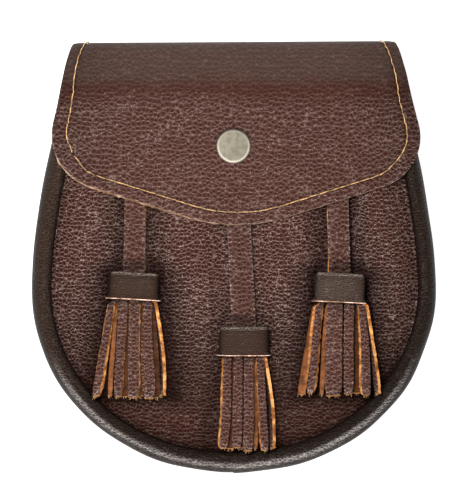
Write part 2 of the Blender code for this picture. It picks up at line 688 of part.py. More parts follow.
def strip_boxes(hanger):
    """One mesh with all the strips of a tassel, each a separate closed bar that starts in its head."""
    frame = collar_frame(hanger)
    top_y = hanger.collar_top_y * MM
    start_y = top_y - STRIP_START
    exit_share = (hanger.collar_height * MM - STRIP_START) / (start_y - hanger.tip_y * MM)
    work = bmesh.new()
    for strip in STRIPS[hanger.name]:
        loops = []
        for share in (0.0, exit_share, *STRIP_STATIONS):
            y = start_y + (hanger.tip_y * MM - start_y) * share
            spread = max((share - exit_share) / (1 - exit_share), 0.0) ** SPREAD_POWER
            x = (hanger.collar_x + strip.exit + (strip.tip - strip.exit) * spread) * MM
            free = float(smoothstep(share / FREE_WIDTH_BY))
            width = strip.width * MM * (EXIT_WIDTH_SHARE + (1 - EXIT_WIDTH_SHARE) * free)
            turn = math.radians(strip.turn * (free if strip.row else 1.0))
            half_depth = (width * abs(math.sin(turn)) + STRIP_WALL * math.cos(turn)) / 2
            held = (frame @ Vector((0.0, y - frame.translation.y, strip.row * STRIP_ROW_LIFT))).z
            lift = 2 * STRIP_ROW_LIFT if strip.row == 1 else 0.0
            lying = float(envelope(x, y)) + GAP + half_depth + lift
            z = held + (lying - held) * float(smoothstep((share - exit_share) / LYING_AFTER))
            wide = Vector((math.cos(turn), 0.0, math.sin(turn))) * width / 2
            deep = Vector((-math.sin(turn), 0.0, math.cos(turn))) * STRIP_WALL / 2
            around = (-wide - deep, wide - deep, wide + deep, deep - wide)
            loops.append([work.verts.new(Vector((x, y, z)) + corner) for corner in around])
        work.faces.new(loops[0])
        work.faces.new(loops[-1][::-1])
        for near, far in zip(loops, loops[1:]):
            for k in range(4):
                work.faces.new((near[k], far[k], far[(k + 1) % 4], near[(k + 1) % 4]))
    bmesh.ops.recalc_face_normals(work, faces=work.faces)
    mesh = bpy.data.meshes.new(f"strips_{hanger.name}")
    work.to_mesh(mesh)
    work.free()
    return mesh


def make_tassel(hanger):
    """The rolled head inside the collar, with its strips, and a slot for the strap's end."""
    name = f"tassel_{hanger.name}"
    top = hanger.collar_height * MM / 2
    half_x = COLLAR_HALF_WIDTH - COLLAR_WALL - GAP
    half_z = COLLAR_HALF_DEPTH - COLLAR_WALL - GAP
    frame = collar_frame(hanger)
    loops = [ring(half_x, half_z, y) for y in (top - HEAD_TOP, top - HEAD_BOTTOM)]
    mesh = grid_mesh(name, np.array(loops), closed=True)
    work = bmesh.new()
    work.from_mesh(mesh)
    bmesh.ops.holes_fill(work, edges=work.edges, sides=0)
    bmesh.ops.recalc_face_normals(work, faces=work.faces)
    work.transform(frame)
    work.to_mesh(mesh)
    work.free()
    head = add_object(name, mesh, "tassel_leather")
    strips = guide(f"strips_{hanger.name}", strip_boxes(hanger))
    combine(head, strips, "UNION")
    slot_height = SLOT_BOTTOM + SLOT_MARGIN
    slot = bmesh.new()
    size = (hanger.strap_width * MM + 2 * GAP, slot_height, STRAP_WALL + 2 * GAP)
    bmesh.ops.create_cube(slot, size=1.0, matrix=Matrix.Diagonal((*size, 1.0)))
    slot_mesh = bpy.data.meshes.new(f"slot_{hanger.name}")
    slot.to_mesh(slot_mesh)
    slot.free()
    cutter = guide(f"slot_{hanger.name}", slot_mesh)
    pitch = frame.to_euler("ZXY").x
    middle_y = hanger.collar_top_y * MM + slot_height / 2 - SLOT_BOTTOM
    middle = frame @ Vector((0.0, middle_y - frame.translation.y, 0.0))
    place = Matrix.Translation((hanger.collar_x * MM, middle_y, middle.z))
    cutter.matrix_world = place @ Matrix.Rotation(pitch, 4, "X")
    combine(head, cutter, "DIFFERENCE")


# ---------------------------------------------------------------- belt loops


def make_belt_loop(name, x):
    """A strip sewn flat to the back at both ends, standing off between them for a belt."""
    tab_z = BACK_Z - GAP - LOOP_WALL
    upper = [(LOOP_END, tab_z), (LOOP_TAB_FROM, tab_z), (LOOP_FLAT_HALF, 0.0)]
    rows = []
    for along, z in upper + [(-along, z) for along, z in upper[::-1]]:
        rows.append([(x + side * LOOP_WIDTH / 2, LOOP_MIDDLE_Y + along, z) for side in (-1, 1)])
    outer = np.array(rows)
    inner = outer + (0.0, 0.0, LOOP_WALL)
    points = np.concatenate([outer, inner[::-1]])
    work = bmesh.new()
    loops = [[work.verts.new(p) for p in pair] for pair in points]
    for near, far in zip(loops, loops[1:] + loops[:1]):
        work.faces.new((near[0], near[1], far[1], far[0]))
    work.faces.new([pair[0] for pair in loops])
    work.faces.new([pair[1] for pair in loops][::-1])
    bmesh.ops.recalc_face_normals(work, faces=work.faces)
    mesh = bpy.data.meshes.new(name)
    work.to_mesh(mesh)
    work.free()
    add_object(name, mesh, "brown_leather")


def main():
    for obj in list(bpy.data.objects):
        bpy.data.objects.remove(obj, do_unlink=True)
    make_back_panel()
    make_gusset()
    make_front_panel()
    make_flap()
    make_snap()
    for hanger in HANGERS:
        make_strap(hanger)
        make_collar(hanger)
        make_tassel(hanger)
    make_belt_loop("belt_loop_left", -LOOP_X)
    make_belt_loop("belt_loop_right", LOOP_X)


main()
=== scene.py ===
"""Day sporran: a leather pouch with a fold-over flap, a snap and three hanging tassels.

Metres, +Z up. The pouch lies on its back with its front up, +Y runs up to the fold of its flap.
"""

import math
from collections import namedtuple

import bmesh
import bpy
import numpy as np
from bpy.props import FloatProperty, FloatVectorProperty, IntProperty, PointerProperty
from mathutils import Matrix, Vector
from mathutils.bvhtree import BVHTree


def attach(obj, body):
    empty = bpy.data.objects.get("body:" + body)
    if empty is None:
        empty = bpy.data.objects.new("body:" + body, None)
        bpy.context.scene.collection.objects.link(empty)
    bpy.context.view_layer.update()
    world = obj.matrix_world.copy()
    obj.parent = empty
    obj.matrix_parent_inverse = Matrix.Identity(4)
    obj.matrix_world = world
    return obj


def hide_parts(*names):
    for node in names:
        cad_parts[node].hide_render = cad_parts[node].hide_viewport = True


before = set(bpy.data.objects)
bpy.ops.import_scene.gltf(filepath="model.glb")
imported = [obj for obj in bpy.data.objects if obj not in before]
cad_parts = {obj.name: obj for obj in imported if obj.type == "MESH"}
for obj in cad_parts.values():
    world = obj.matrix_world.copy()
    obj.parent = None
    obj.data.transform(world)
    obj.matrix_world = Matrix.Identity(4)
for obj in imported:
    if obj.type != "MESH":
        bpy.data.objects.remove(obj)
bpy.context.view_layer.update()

bl_info = {
    "name": "Day Sporran",
    "version": (1, 0, 0),
    "blender": (4, 5, 0),
    "location": "View3D > Sidebar > Sporran",
    "description": "Builds a leather pouch with a fold-over flap, a snap and three hanging tassels",
    "category": "Add Mesh",
}

MM = 0.001
GAP = 0.3 * MM  # between pieces that touch

# Outline of the pouch, seen from the front
WIDTH = 178.0 * MM
TOP_Y = 94.6 * MM
BOTTOM_Y = -94.6 * MM
WIDEST_Y = -12.5 * MM
BELOW_WIDEST = WIDEST_Y - BOTTOM_Y
BOTTOM_POWER = 2.07
TAPER_DROP = 1.98 * MM
TAPER_RUN = 24.2 * MM
TAPER_POWER = 1.6

# Gusset with its two rolls
GUSSET_WALL = 1.6 * MM
RIM_WIDTH = 9.0 * MM
ROLL_CREST_OUT = 3.6 * MM
ROLL_FALL = 8.5 * MM
ROLL_STEPS = 13
FRONT_SEAM_DIP = 2.6 * MM
BACK_SEAM_DIP = 6.2 * MM
CREST_AT_BOTTOM = 34.0 * MM
CREST_AT_MOUTH = 28.0 * MM
BACK_ROLL_END_Y = 72.5 * MM
MOUTH_Y = 84.0 * MM
GUSSET_END_CLEARANCE = 1.5 * MM
SHOULDER_SLOPE = 5.0

# Panels
BACK_WALL = 2.0 * MM
BACK_Z = BACK_SEAM_DIP + 0.5 * MM
BACK_TAB_HALF = 60.0 * MM
BACK_TAB_TOP_Y = 79.5 * MM
FRONT_WALL = 1.8 * MM
FRONT_TOP_Y = 66.0 * MM
SEAM_ALLOWANCE = 2.2 * MM
FLANGE_DIP = 3.5 * MM
EDGE_RUN = 12.0 * MM
EDGE_POWER = 2.2
GRID_CORNER_Y = -52.0 * MM
DOME_RISE = 9.0 * MM
DOME_POWER = 1.5
DOME_LOSS_AT_MOUTH = 0.55
DOME_LOSS_RUN = 75.0 * MM

# Valleys for the straps
VALLEY_DEPTH = 4.2 * MM
VALLEY_FLOOR_HALF = 5.5 * MM
VALLEY_SHOULDER = 11.5 * MM
VALLEY_START_Y = 52.0 * MM
VALLEY_FULL_Y = 36.0 * MM

# Flap
FLAP_WALL = 2.2 * MM
FLAP_CLEARANCE = 0.5 * MM
FOLD_Y = 70.0 * MM
FOLD_HALF = 77.6 * MM
FOLD_MIDDLE_Z = 15.0 * MM
BACK_FOLD_Y = 80.0 * MM
LAP_END_Y = 58.0 * MM
FLAP_TAPER = 0.222
FLAP_LEAN = 0.022
FLAP_CORNER = (85.1 * MM, 37.3 * MM)
FLAP_CORNER_RADIUS = 24.0 * MM
FLAP_POINT_Y = 10.7 * MM
FLAP_POINT_RADIUS = 70.0 * MM
DROOP_START = 3.0 * MM
DROOP_SHARE = 3.8

# Snap
SNAP_XY = (0.0, 48.4 * MM)
SNAP_FLAT = 13.0 * MM
SNAP_SHOULDER = 8.0 * MM
CAP_RADIUS = 7.5 * MM
CAP_RISE = 2.1 * MM
CAP_SHOULDER = 0.85 * MM
CAP_DIMPLE = 0.8 * MM
STUD_DIMPLE = 4.6 * MM
TURN_STEPS = 72

# Straps and collars
STRAP_WALL = 2.0 * MM
STRAP_SEAT = 0.6 * MM
STRAP_BEARING = 5.5 * MM
STRAP_RISE_RUN = 8.0 * MM
COLLAR_HALF_WIDTH = 11.0 * MM
COLLAR_HALF_DEPTH = 4.7 * MM
COLLAR_WALL = 1.3 * MM
COLLAR_POWER = 3.2
COLLAR_SEAT = 0.7 * MM
COLLAR_DROP = 12.6 * MM
HEAD_TOP = 2.6 * MM
HEAD_BOTTOM = 10.2 * MM
SLOT_BOTTOM = 8.0 * MM

# Belt loops
LOOP_X = 36.0 * MM
LOOP_MIDDLE_Y = 26.0 * MM
LOOP_WIDTH = 22.0 * MM
LOOP_WALL = 2.0 * MM

# A hanger is a strap with its collar and tassel: its tilt in degrees, then lengths, given in mm
HANGER_SIZES = "strap_top_x strap_top_y strap_width collar_x collar_top_y collar_height tip_y"
Hanger = namedtuple("Hanger", f"name tilt {HANGER_SIZES} fade_from fade_to left_cut right_cut")
HANGERS = [
    Hanger(name, tilt, *(length * MM for length in lengths_mm))
    for name, tilt, *lengths_mm in (
        ("left", 3.2, -43.0, 34.0, 9.5, -43.6, -6.9, 12.2, -61.2, -32.0, -68.0, 0.15, 1.0),
        ("middle", 0.0, 1.6, 30.0, 10.6, 4.6, -30.5, 12.8, -84.3, -48.0, -84.0, 0.15, 0.15),
        ("right", 2.7, 45.6, 34.0, 9.5, 46.6, -7.3, 13.0, -60.5, -32.0, -68.0, 1.0, 0.15),
    )
]

# One row for each strip of a tassel, in mm from the middle of its collar: the middle of its grain
# side just below the collar and at its tip, its width at both, how much of its cut edge shows on
# the left and on the right, how far it is turned at both ends, its row (1 front, 0 at the side on
# its edge, -1 back), how far it bows to the right, and how much of its flesh side shows.
Strip = namedtuple("Strip", "exit tip wide wide_tip cut_left cut_right turn turn_tip row bow flesh")
STRIPS = {
    "left": (
        (-9.6, -17.0, 2.7, 3.2, 0.9, 1.7, -6, 10, 1, 0.5, 0),
        (-4.6, -7.0, 3.9, 3.8, 0.2, 0.8, 0, 6, 1, 0.0, 0),
        (0.2, -0.4, 4.4, 4.8, 0.2, 1.1, 0, 3, 1, 0.0, 0),
        (6.0, 6.6, 4.0, 5.6, 0.2, 0.2, 4, -3, 1, -0.5, 0),
        (9.0, 12.9, 3.4, 4.0, 0.2, 0.2, 84, 74, 0, 1.0, 0),
        (-7.2, -10.3, 1.6, 2.2, 0.3, 0.5, 0, 12, -1, -0.3, 1),
        (-2.2, -3.6, 4.0, 4.4, 0.1, 0.1, 0, 0, -1, 0.0, 0.1),
        (2.4, 2.6, 4.0, 4.4, 0.1, 0.1, 0, 0, -1, 0.0, 0.1),
        (6.4, 9.6, 3.6, 4.2, 0.1, 0.1, 0, -8, -1, 0.6, 0.1),
    ),
    "middle": (
        (-7.2, -8.8, 3.5, 3.9, 1.4, 0.6, 0, -4, 1, 0.4, 0),
        (-2.5, -3.3, 3.9, 4.4, 0.2, 0.2, 0, 2, 1, 0.2, 0),
        (2.2, 1.9, 4.2, 4.5, 0.2, 0.2, 0, -2, 1, 0.0, 0),
        (7.0, 9.0, 3.3, 3.4, 1.1, 0.3, 2, -6, 1, 0.0, 0),
        (9.0, 12.7, 3.2, 3.8, 0.2, 0.2, 86, 66, 0, 0.8, 0),
        (-5.2, -6.4, 3.8, 4.2, 0.1, 0.1, 0, 4, -1, 0.0, 0.1),
        (-0.6, -0.8, 3.8, 4.2, 0.1, 0.1, 0, 0, -1, 0.0, 0.1),
        (4.6, 5.1, 1.8, 2.2, 0.3, 0.3, 0, -4, -1, 0.1, 1),
    ),
    "right": (
        (-10.8, -16.6, 3.4, 3.9, 0.3, 0.3, 82, 40, 0, -0.2, 1),
        (-8.9, -12.8, 2.9, 3.3, 0.2, 1.5, -4, 8, 1, -0.1, 0),
        (-2.2, -3.0, 7.0, 7.3, 0.2, 0.25, 0, 3, 1, 0.0, 0),
        (4.1, 3.6, 4.4, 4.3, 0.2, 0.2, 0, -2, 1, 0.0, 0),
        (9.5, 11.7, 3.0, 4.0, 1.4, 0.2, 0, -8, 1, 0.3, 0),
        (11.3, 16.5, 3.2, 3.8, 0.2, 0.2, 86, 60, 0, 0.3, 0),
        (-5.4, -7.9, 1.8, 2.2, 0.3, 0.3, 0, 6, -1, -0.2, 1),
        (-0.4, -1.0, 4.0, 4.4, 0.1, 0.1, 0, 0, -1, 0.0, 0.1),
        (5.6, 7.6, 4.0, 4.6, 0.1, 0.1, 0, -6, -1, 0.2, 0.1),
    ),
}
STRIP_WALL = 1.5 * MM
STRIP_ROW_LIFT = 1.7 * MM
STRIP_POINTS_ACROSS = 9


# ---------------------------------------------------------------- sizes and colours to change


def tone(name, description, default):
    """A colour that a user may change."""
    return FloatVectorProperty(
        name=name, description=description, subtype="COLOR", default=default, min=0, max=1
    )


def measure(name, description, default, low, high, unit="LENGTH"):
    """A size in metres or a power that a user may change."""
    return FloatProperty(
        name=name, description=description, unit=unit, default=default, min=low, max=high
    )


class SporranLeather(bpy.types.PropertyGroup):
    """Colours and grain of the leather."""

    brown: tone("Brown leather", "Flap, panels and straps", (0.0395, 0.0100, 0.0054))
    dark: tone("Dark leather", "Gusset", (0.0240, 0.0110, 0.0056))
    # The worn colour: rubbed places, and the painted sheen that greys the flap over its fold.
    worn: tone("Worn leather", "Where it is rubbed or stretched over the fold", (0.062, 0.040, 0.033))
    # The gusset's sheen colour is a painted highlight along its lower roll.
    sheen: tone("Sheen of the gusset", "Where its roll is rubbed pale", (0.22, 0.20, 0.19))
    # Colour of the painted highlights on the ridges between the pebbles.
    polish: tone("Polished lines", "Thin lines between the pebbles", (0.56, 0.41, 0.365))
    cut: tone("Cut edge", "Raw leather where it was cut", (0.52, 0.245, 0.085))
    flesh: tone("Flesh side", "Unfinished inner side", (0.17, 0.062, 0.022))
    pebble_width: measure("Pebble width", "Across the pouch", 1.95 * MM, 0.5 * MM, 6 * MM)
    pebble_height: measure("Pebble height", "Up the pouch", 2.05 * MM, 0.5 * MM, 6 * MM)


class SporranStitches(bpy.types.PropertyGroup):
    """Sizes of the sewing on the flap and the belt loops."""

    thread: tone("Thread", "Colour of the thread", (0.52, 0.30, 0.13))
    pitch: measure("Pitch", "From one needle hole to the next", 4.7 * MM, 1 * MM, 12 * MM)
    radius: measure("Thread radius", "Half of the thread's thickness", 0.24 * MM, 0.1 * MM, 1 * MM)
    inset: measure("Inset", "From the flap's cut edge in to the stitches", 5.3 * MM, 2 * MM, 12 * MM)
    seed: IntProperty(name="Seed", description="Draw of the stitches' small differences", default=7)


class SporranStage(bpy.types.PropertyGroup):
    """Light round the pouch."""

    front_power: measure("Front light", "Lamp in front of the pouch", 3.9, 0, 200, "POWER")
    room_power: measure("Room light", "Large lamp high above the pouch", 4.0, 0, 200, "POWER")
    low_power: measure("Low light", "Lamp below the pouch's lower end", 0.9, 0, 200, "POWER")
    room: FloatProperty(name="Room", description="Brightness of the white room", default=0.10, min=0, max=3)
    camera_distance: measure("Camera distance", "From the camera to the pouch's front", 4.0, 0.4, 10)


# ---------------------------------------------------------------- the pouch's form


def smoothstep(value):
    """0 below 0, 1 above 1, with an even curve between."""
    t = np.clip(value, 0.0, 1.0)
    return t * t * (3.0 - 2.0 * t)


def rise(value, start, run):
    """0 up to start and 1 from run mm past it, with an even curve between. start is in mm too."""
    return smoothstep((value - start * MM) / (run * MM))


def peak(value, middle, width):
    """A bell curve that is 1 at middle. middle and width are in mm."""
    return np.exp(-(((value - middle * MM) / (width * MM)) ** 2))


def ripple(x, y, wavelength, seed, waves=10):
    """An irregular smooth surface, mostly between -1 and 1. Its wavelength is in mm."""
    draw = np.random.default_rng(seed)
    total = 0.0
    for _ in range(waves):
        turn, phase = draw.uniform(0, math.tau, 2)
        size = wavelength * MM * draw.uniform(0.7, 1.7)
        total = total + np.sin(math.tau * (x * math.cos(turn) + y * math.sin(turn)) / size + phase)
    return total / math.sqrt(waves)


def side_half_width(y):
    above = np.maximum(y - WIDEST_Y, 0.0)
    return WIDTH / 2 - TAPER_DROP * (above / TAPER_RUN) ** TAPER_POWER


def outline_share(x, y):
    """0 at the middle of the pouch and 1 on its outline."""
    side = np.abs(x) / side_half_width(y)
    low_x = np.abs(x) / (WIDTH / 2)
    low_y = np.abs(y - WIDEST_Y) / BELOW_WIDEST
    low = (low_x**BOTTOM_POWER + low_y**BOTTOM_POWER) ** (1 / BOTTOM_POWER)
    return np.where(y < WIDEST_Y, low, side)


def inset(x, y):
    """How far a point lies inside the outline."""
    share = np.maximum(outline_share(x, y), 1e-6)
    low = np.hypot(x, y - WIDEST_Y) * (1 / share - 1)
    above = np.maximum(y - WIDEST_Y, 0.0)
    slope = TAPER_DROP * TAPER_POWER / TAPER_RUN * (above / TAPER_RUN) ** (TAPER_POWER - 1)
    side = (side_half_width(y) - np.abs(x)) / np.sqrt(1 + slope**2)
    return np.where(y < WIDEST_Y, low, side)


def lengths(points):
    """Length along a polyline at each of its points."""
    steps = np.linalg.norm(np.diff(points, axis=0), axis=1)
    return np.concatenate([[0.0], np.cumsum(steps)])


def outline_path(end_y, count):
    """Evenly spaced points of the outline, from the left end at end_y round the bottom to the
    right end, with their outward normals and their lengths from the bottom of the pouch."""
    side_y = np.linspace(end_y, WIDEST_Y, 200, endpoint=False)
    side_x = side_half_width(side_y)
    turn = np.linspace(0.0, math.pi, 401)
    power = 2 / BOTTOM_POWER
    low_x = -np.sign(np.cos(turn)) * np.abs(np.cos(turn)) ** power * WIDTH / 2
    low_y = WIDEST_Y - np.abs(np.sin(turn)) ** power * BELOW_WIDEST
    x = np.concatenate([-side_x, low_x, side_x[::-1]])
    y = np.concatenate([side_y, low_y, side_y[::-1]])
    length = lengths(np.stack([x, y], 1))
    end = length[-1]
    at = np.linspace(0.0, end, count)
    step = end / 200
    places = (at, np.minimum(at + step, end), np.maximum(at - step, 0.0))
    points, ahead, behind = (np.stack([np.interp(s, length, v) for v in (x, y)], 1) for s in places)
    along = ahead - behind
    along /= np.linalg.norm(along, axis=1, keepdims=True)
    return points, np.stack([along[:, 1], -along[:, 0]], 1), at - end / 2


def crest(y):
    """Height of the gusset's front roll."""
    share = np.clip((MOUTH_Y - y) / (MOUTH_Y - BOTTOM_Y), 0.0, 1.0)
    return CREST_AT_MOUTH + (CREST_AT_BOTTOM - CREST_AT_MOUTH) * share


def envelope(x, y):
    """The smooth dome over the pouch's front, without its valleys."""
    dome_rise = DOME_RISE * (1 - DOME_LOSS_AT_MOUTH * smoothstep(y / DOME_LOSS_RUN))
    share = np.minimum(outline_share(x, y), 1.0)
    return crest(y) + dome_rise * (1 - share**2) ** DOME_POWER


def strap_line(hanger, y):
    """Where a hanger's strap, and the valley that it lies in, runs."""
    share = np.clip((hanger.strap_top_y - y) / (hanger.strap_top_y - hanger.collar_top_y), 0.0, 1.0)
    return hanger.strap_top_x + (hanger.collar_x - hanger.strap_top_x) * share


def valleys(x, y):
    """How far the valleys sink below the dome."""
    depth = 0.0
    begun = smoothstep((VALLEY_START_Y - y) / (VALLEY_START_Y - VALLEY_FULL_Y))
    for hanger in HANGERS:
        faded = smoothstep((y - hanger.fade_to) / (hanger.fade_from - hanger.fade_to))
        beside = np.abs(x - strap_line(hanger, y)) - VALLEY_FLOOR_HALF
        depth = depth + begun * faded * (1 - smoothstep(beside / VALLEY_SHOULDER))
    return VALLEY_DEPTH * depth


def from_snap(x, y):
    return np.hypot(x - SNAP_XY[0], y - SNAP_XY[1])


def pressed(height, x, y, dimple, flat_to=SNAP_FLAT, shoulder=SNAP_SHOULDER):
    """A height with the leather round the snap pressed flat, dimple below the dome."""
    flat = 1 - smoothstep((from_snap(x, y) - flat_to) / shoulder)
    return height * (1 - flat) + (envelope(*SNAP_XY) - dimple) * flat


def front_height(x, y):
    """Outer face of the front panel: a swollen edge inside the seam, then dome and valleys."""
    flange = crest(y) - FLANGE_DIP
    inside = np.clip((inset(x, y) - RIM_WIDTH) / EDGE_RUN, 0.0, 1.0)
    swell = 1 - (1 - inside) ** EDGE_POWER
    soft = flange + (envelope(x, y) - valleys(x, y) - flange) * swell
    return pressed(soft, x, y, STUD_DIMPLE)


def flap_height(x, y):
    """Outer face of the flap where it lies on the pouch's front."""
    outside = np.maximum(RIM_WIDTH - inset(x, y) - DROOP_START, 0.0)
    lying = pressed(envelope(x, y), x, y, CAP_DIMPLE, 6 * MM, 22 * MM) - DROOP_SHARE * outside**1.5
    return lying + FLAP_CLEARANCE + FLAP_WALL


def beside_hangers(x, y):
    """How close a point of the front panel lies beside a strap, a collar or a tassel: 1 to 0."""
    far = 1.0
    for hanger in HANGERS:
        is_outer = hanger.name != "middle"
        below_top = hanger.collar_top_y - y
        down = rise(below_top, -9, 9)
        strap_half = hanger.strap_width / 2
        half = strap_half + (COLLAR_HALF_WIDTH - strap_half) * down
        fringe = hanger.collar_top_y - COLLAR_DROP - hanger.tip_y
        half = half + 5.5 * MM * np.clip((below_top - COLLAR_DROP) / fringe, 0, 1)
        reach = (7.0 if is_outer else 2.2) + 3.4 * rise(below_top, -14, 22)
        beside = np.maximum(np.abs(x - strap_line(hanger, y)) - half, 0.0)
        near = peak(beside, 0, reach) * ((0.9 if is_outer else 0.55) + 0.1 * down)
        far = far * (1 - near * rise(y - hanger.tip_y, -9, 9))
    return 1 - far


def hand_softness(x, y):
    """Slow unevenness that the flap and the panel under it share."""
    return 0.22 * MM * ripple(x, y, 34, 11)


# ---------------------------------------------------------------- meshes


def new_mesh(name, points, edges=(), faces=(), **values):
    """A mesh with point attributes. values gives each a number or a vector for every point."""
    mesh = bpy.data.meshes.new(name)
    mesh.from_pydata(np.asarray(points).tolist(), edges, faces)
    write_attributes(mesh, values)
    return mesh


def write_attributes(mesh, values):
    for key, value in values.items():
        value = np.asarray(value, np.float32)
        kind = "FLOAT_VECTOR" if value.ndim == 2 else "FLOAT"
        layer = mesh.attributes.new(key, kind, "POINT")
        layer.data.foreach_set("vector" if value.ndim == 2 else "value", value.ravel())


def points_of(mesh):
    return np.array([vertex.co for vertex in mesh.vertices])


def mesh_from(work, name, outward=False):
    """The mesh of a bmesh, with its faces turned outward if asked. The bmesh is freed."""
    if outward:
        bmesh.ops.recalc_face_normals(work, faces=work.faces)
    mesh = bpy.data.meshes.new(name)
    work.to_mesh(mesh)
    work.free()
    return mesh


def merged(name, meshes):
    """One mesh from several, with their attributes kept."""
    work = bmesh.new()
    for mesh in meshes:
        work.from_mesh(mesh)
        bpy.data.meshes.remove(mesh)
    return mesh_from(work, name)


def new_object(name, data):
    obj = bpy.data.objects.new(name, data)
    bpy.context.scene.collection.objects.link(obj)
    return obj


def finished(name, mesh, material, slot=None):
    """A piece of the pouch, with the material that is given, if any. Without a slot it takes the
    place of the CAD node that has its name, which is hidden; with a slot it is an extra piece."""
    obj = new_object(name, mesh)
    if material is not None:
        mesh.materials.clear()
        mesh.materials.append(material)
    if slot is None:
        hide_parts(name)
    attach(obj, "root")


# ---------------------------------------------------------------- sheets of leather


def fillet(before, corner, after, radius, steps):
    """Points of the arc that rounds a corner."""
    corner = Vector(corner)
    a = (Vector(before) - corner).normalized()
    b = (Vector(after) - corner).normalized()
    half = a.angle(b) / 2
    centre = corner + (a + b).normalized() * radius / math.sin(half)
    start = corner + a * radius / math.tan(half) - centre
    end = corner + b * radius / math.tan(half) - centre
    sweep = start.angle_signed(end)
    points = []
    for i in range(steps + 1):
        spoke = start.copy()
        spoke.rotate(Matrix.Rotation(-sweep * i / steps, 2))
        points.append(tuple(centre + spoke))
    return points


def resampled(points, shares):
    """The points at these shares of a polyline's length."""
    points = np.array(points, float)
    length = lengths(points)
    at = shares * length[-1]
    return np.stack([np.interp(at, length, column) for column in points.T], 1)


def closed_loop(points, count):
    """count evenly spaced points round a closed line."""
    return resampled([*points, points[0]], np.linspace(0, 1, count + 1))[:-1]


def graded(length, fine, coarse, run, ends=(True, True)):
    """Shares of a length in steps that are fine within run of its ends and coarse between them.
    All four are in mm."""
    s = np.linspace(0, length, 2000)
    near = np.full_like(s, length)
    if ends[0]:
        near = np.minimum(near, s)
    if ends[1]:
        near = np.minimum(near, length - s)
    step = fine + (coarse - fine) * smoothstep((near - run) / run)
    count = np.concatenate([[0.0], np.cumsum((s[1] - s[0]) / step[:-1])])
    return np.interp(np.linspace(0, count[-1], round(count[-1]) + 1), count, s) / length


def patch(left, right, bottom, top, v, u):
    """Rows by columns of plane points that fill four border curves, at the shares v and u."""
    v, u = v[:, None, None], u[None, :, None]
    ruled = (1 - v) * bottom[None] + v * top[None] + (1 - u) * left[:, None] + u * right[:, None]
    corners = (1 - u) * ((1 - v) * bottom[0] + v * top[0]) + u * ((1 - v) * bottom[-1] + v * top[-1])
    return ruled - corners


def grid_normals(grid):
    """Normals of a grid whose rows run up and whose columns run to the right, seen from outside."""
    normals = np.cross(np.gradient(grid, axis=1), np.gradient(grid, axis=0))
    return normals / np.maximum(np.linalg.norm(normals, axis=2, keepdims=True), 1e-12)


def border_of(grid):
    """Rows and columns of the points round a grid, anticlockwise from its lower left corner."""
    rows, columns = grid.shape[:2]
    low = [(0, c) for c in range(columns)]
    right = [(r, columns - 1) for r in range(1, rows)]
    high = [(rows - 1, c) for c in range(columns - 2, -1, -1)]
    left = [(r, 0) for r in range(rows - 2, 0, -1)]
    loop = np.array(low + right + high + left)
    return loop[:, 0], loop[:, 1]


def nearest_distance(points, line):
    """Distance from each point to the nearest point of a line, for rows of points."""
    found = np.empty(points.shape[:-1])
    for r, row in enumerate(points):
        apart = row[:, None, :] - line[None, :, :]
        found[r] = np.sqrt((apart**2).sum(2)).min(1)
    return found


# How far out along its slant, and how far down through the wall, each line of a cut edge lies
CUT_EDGE = ((0.03, 0.05), (0.45, 0.4), (0.85, 0.75), (1.03, 0.95))


def sheet_mesh(name, grid, wall, slant, masks=None, flesh_up=0.0, ragged=0.0):
    """A closed sheet of leather. grid is its outer face and its wall lies behind it. Its cut edge
    slants out by slant and is moved out by ragged, one number or one for each border point. masks
    gives point attributes of the outer face, and flesh_up how much of it is flesh side."""
    normals = grid_normals(grid)
    for row, column in ((0, 0), (0, -1), (-1, 0), (-1, -1)):
        normals[row, column] = normals[2 + 5 * row, 2 + 5 * column]
    at = border_of(grid)
    edge, edge_normal = grid[at], normals[at]
    outward = np.cross(np.roll(edge, -2, 0) - np.roll(edge, 2, 0), edge_normal)
    outward /= np.maximum(np.linalg.norm(outward, axis=1, keepdims=True), 1e-12)
    outward = outward * np.broadcast_to(slant + ragged, (len(edge),))[:, None]
    inner = grid - normals * wall
    inner[at] = inner[at] + outward
    rings = [edge + outward * share - edge_normal * wall * depth for share, depth in CUT_EDGE]
    count = len(grid) * len(grid[0])
    index = np.arange(count).reshape(grid.shape[:2])
    quads = np.stack([index[:-1, :-1], index[:-1, 1:], index[1:, 1:], index[1:, :-1]], 2).reshape(-1, 4)
    loops = [np.arange(len(edge)) + 2 * count + k * len(edge) for k in range(len(rings))]
    loops = [index[at], *loops, index[at] + count]
    faces = [quads, quads[:, ::-1] + count]
    for near, far in zip(loops, loops[1:]):
        faces.append(np.stack([near, far, np.roll(far, -1), np.roll(near, -1)], 1))

    def spread(outer_face, inner_face, cut):
        return np.concatenate([outer_face, np.full(count, inner_face), *([cut] * len(rings))])

    values = {
        "raw": spread(np.zeros(count), 0.0, np.ones(len(edge))),
        "flesh": spread(np.full(count, flesh_up), 1.0, np.zeros(len(edge))),
    }
    for key, mask in (masks or {}).items():
        values[key] = spread(mask.ravel(), 0.0, mask[at])
    points = np.concatenate([grid.reshape(-1, 3), inner.reshape(-1, 3), *rings])
    mesh = new_mesh(name, points, (), np.concatenate(faces).tolist(), **values)
    mesh.shade_smooth()
    return mesh


# ---------------------------------------------------------------- nodes


class Value:
    """What a node puts out. Arithmetic with it adds math nodes to its tree."""

    def __init__(self, tree, socket):
        self.tree = tree
        self.socket = socket

    def __add__(self, other):
        return self.tree.math("ADD", self, other)

    def __sub__(self, other):
        return self.tree.math("SUBTRACT", self, other)

    def __rsub__(self, other):
        return self.tree.math("SUBTRACT", other, self)

    def __mul__(self, other):
        return self.tree.math("MULTIPLY", self, other)


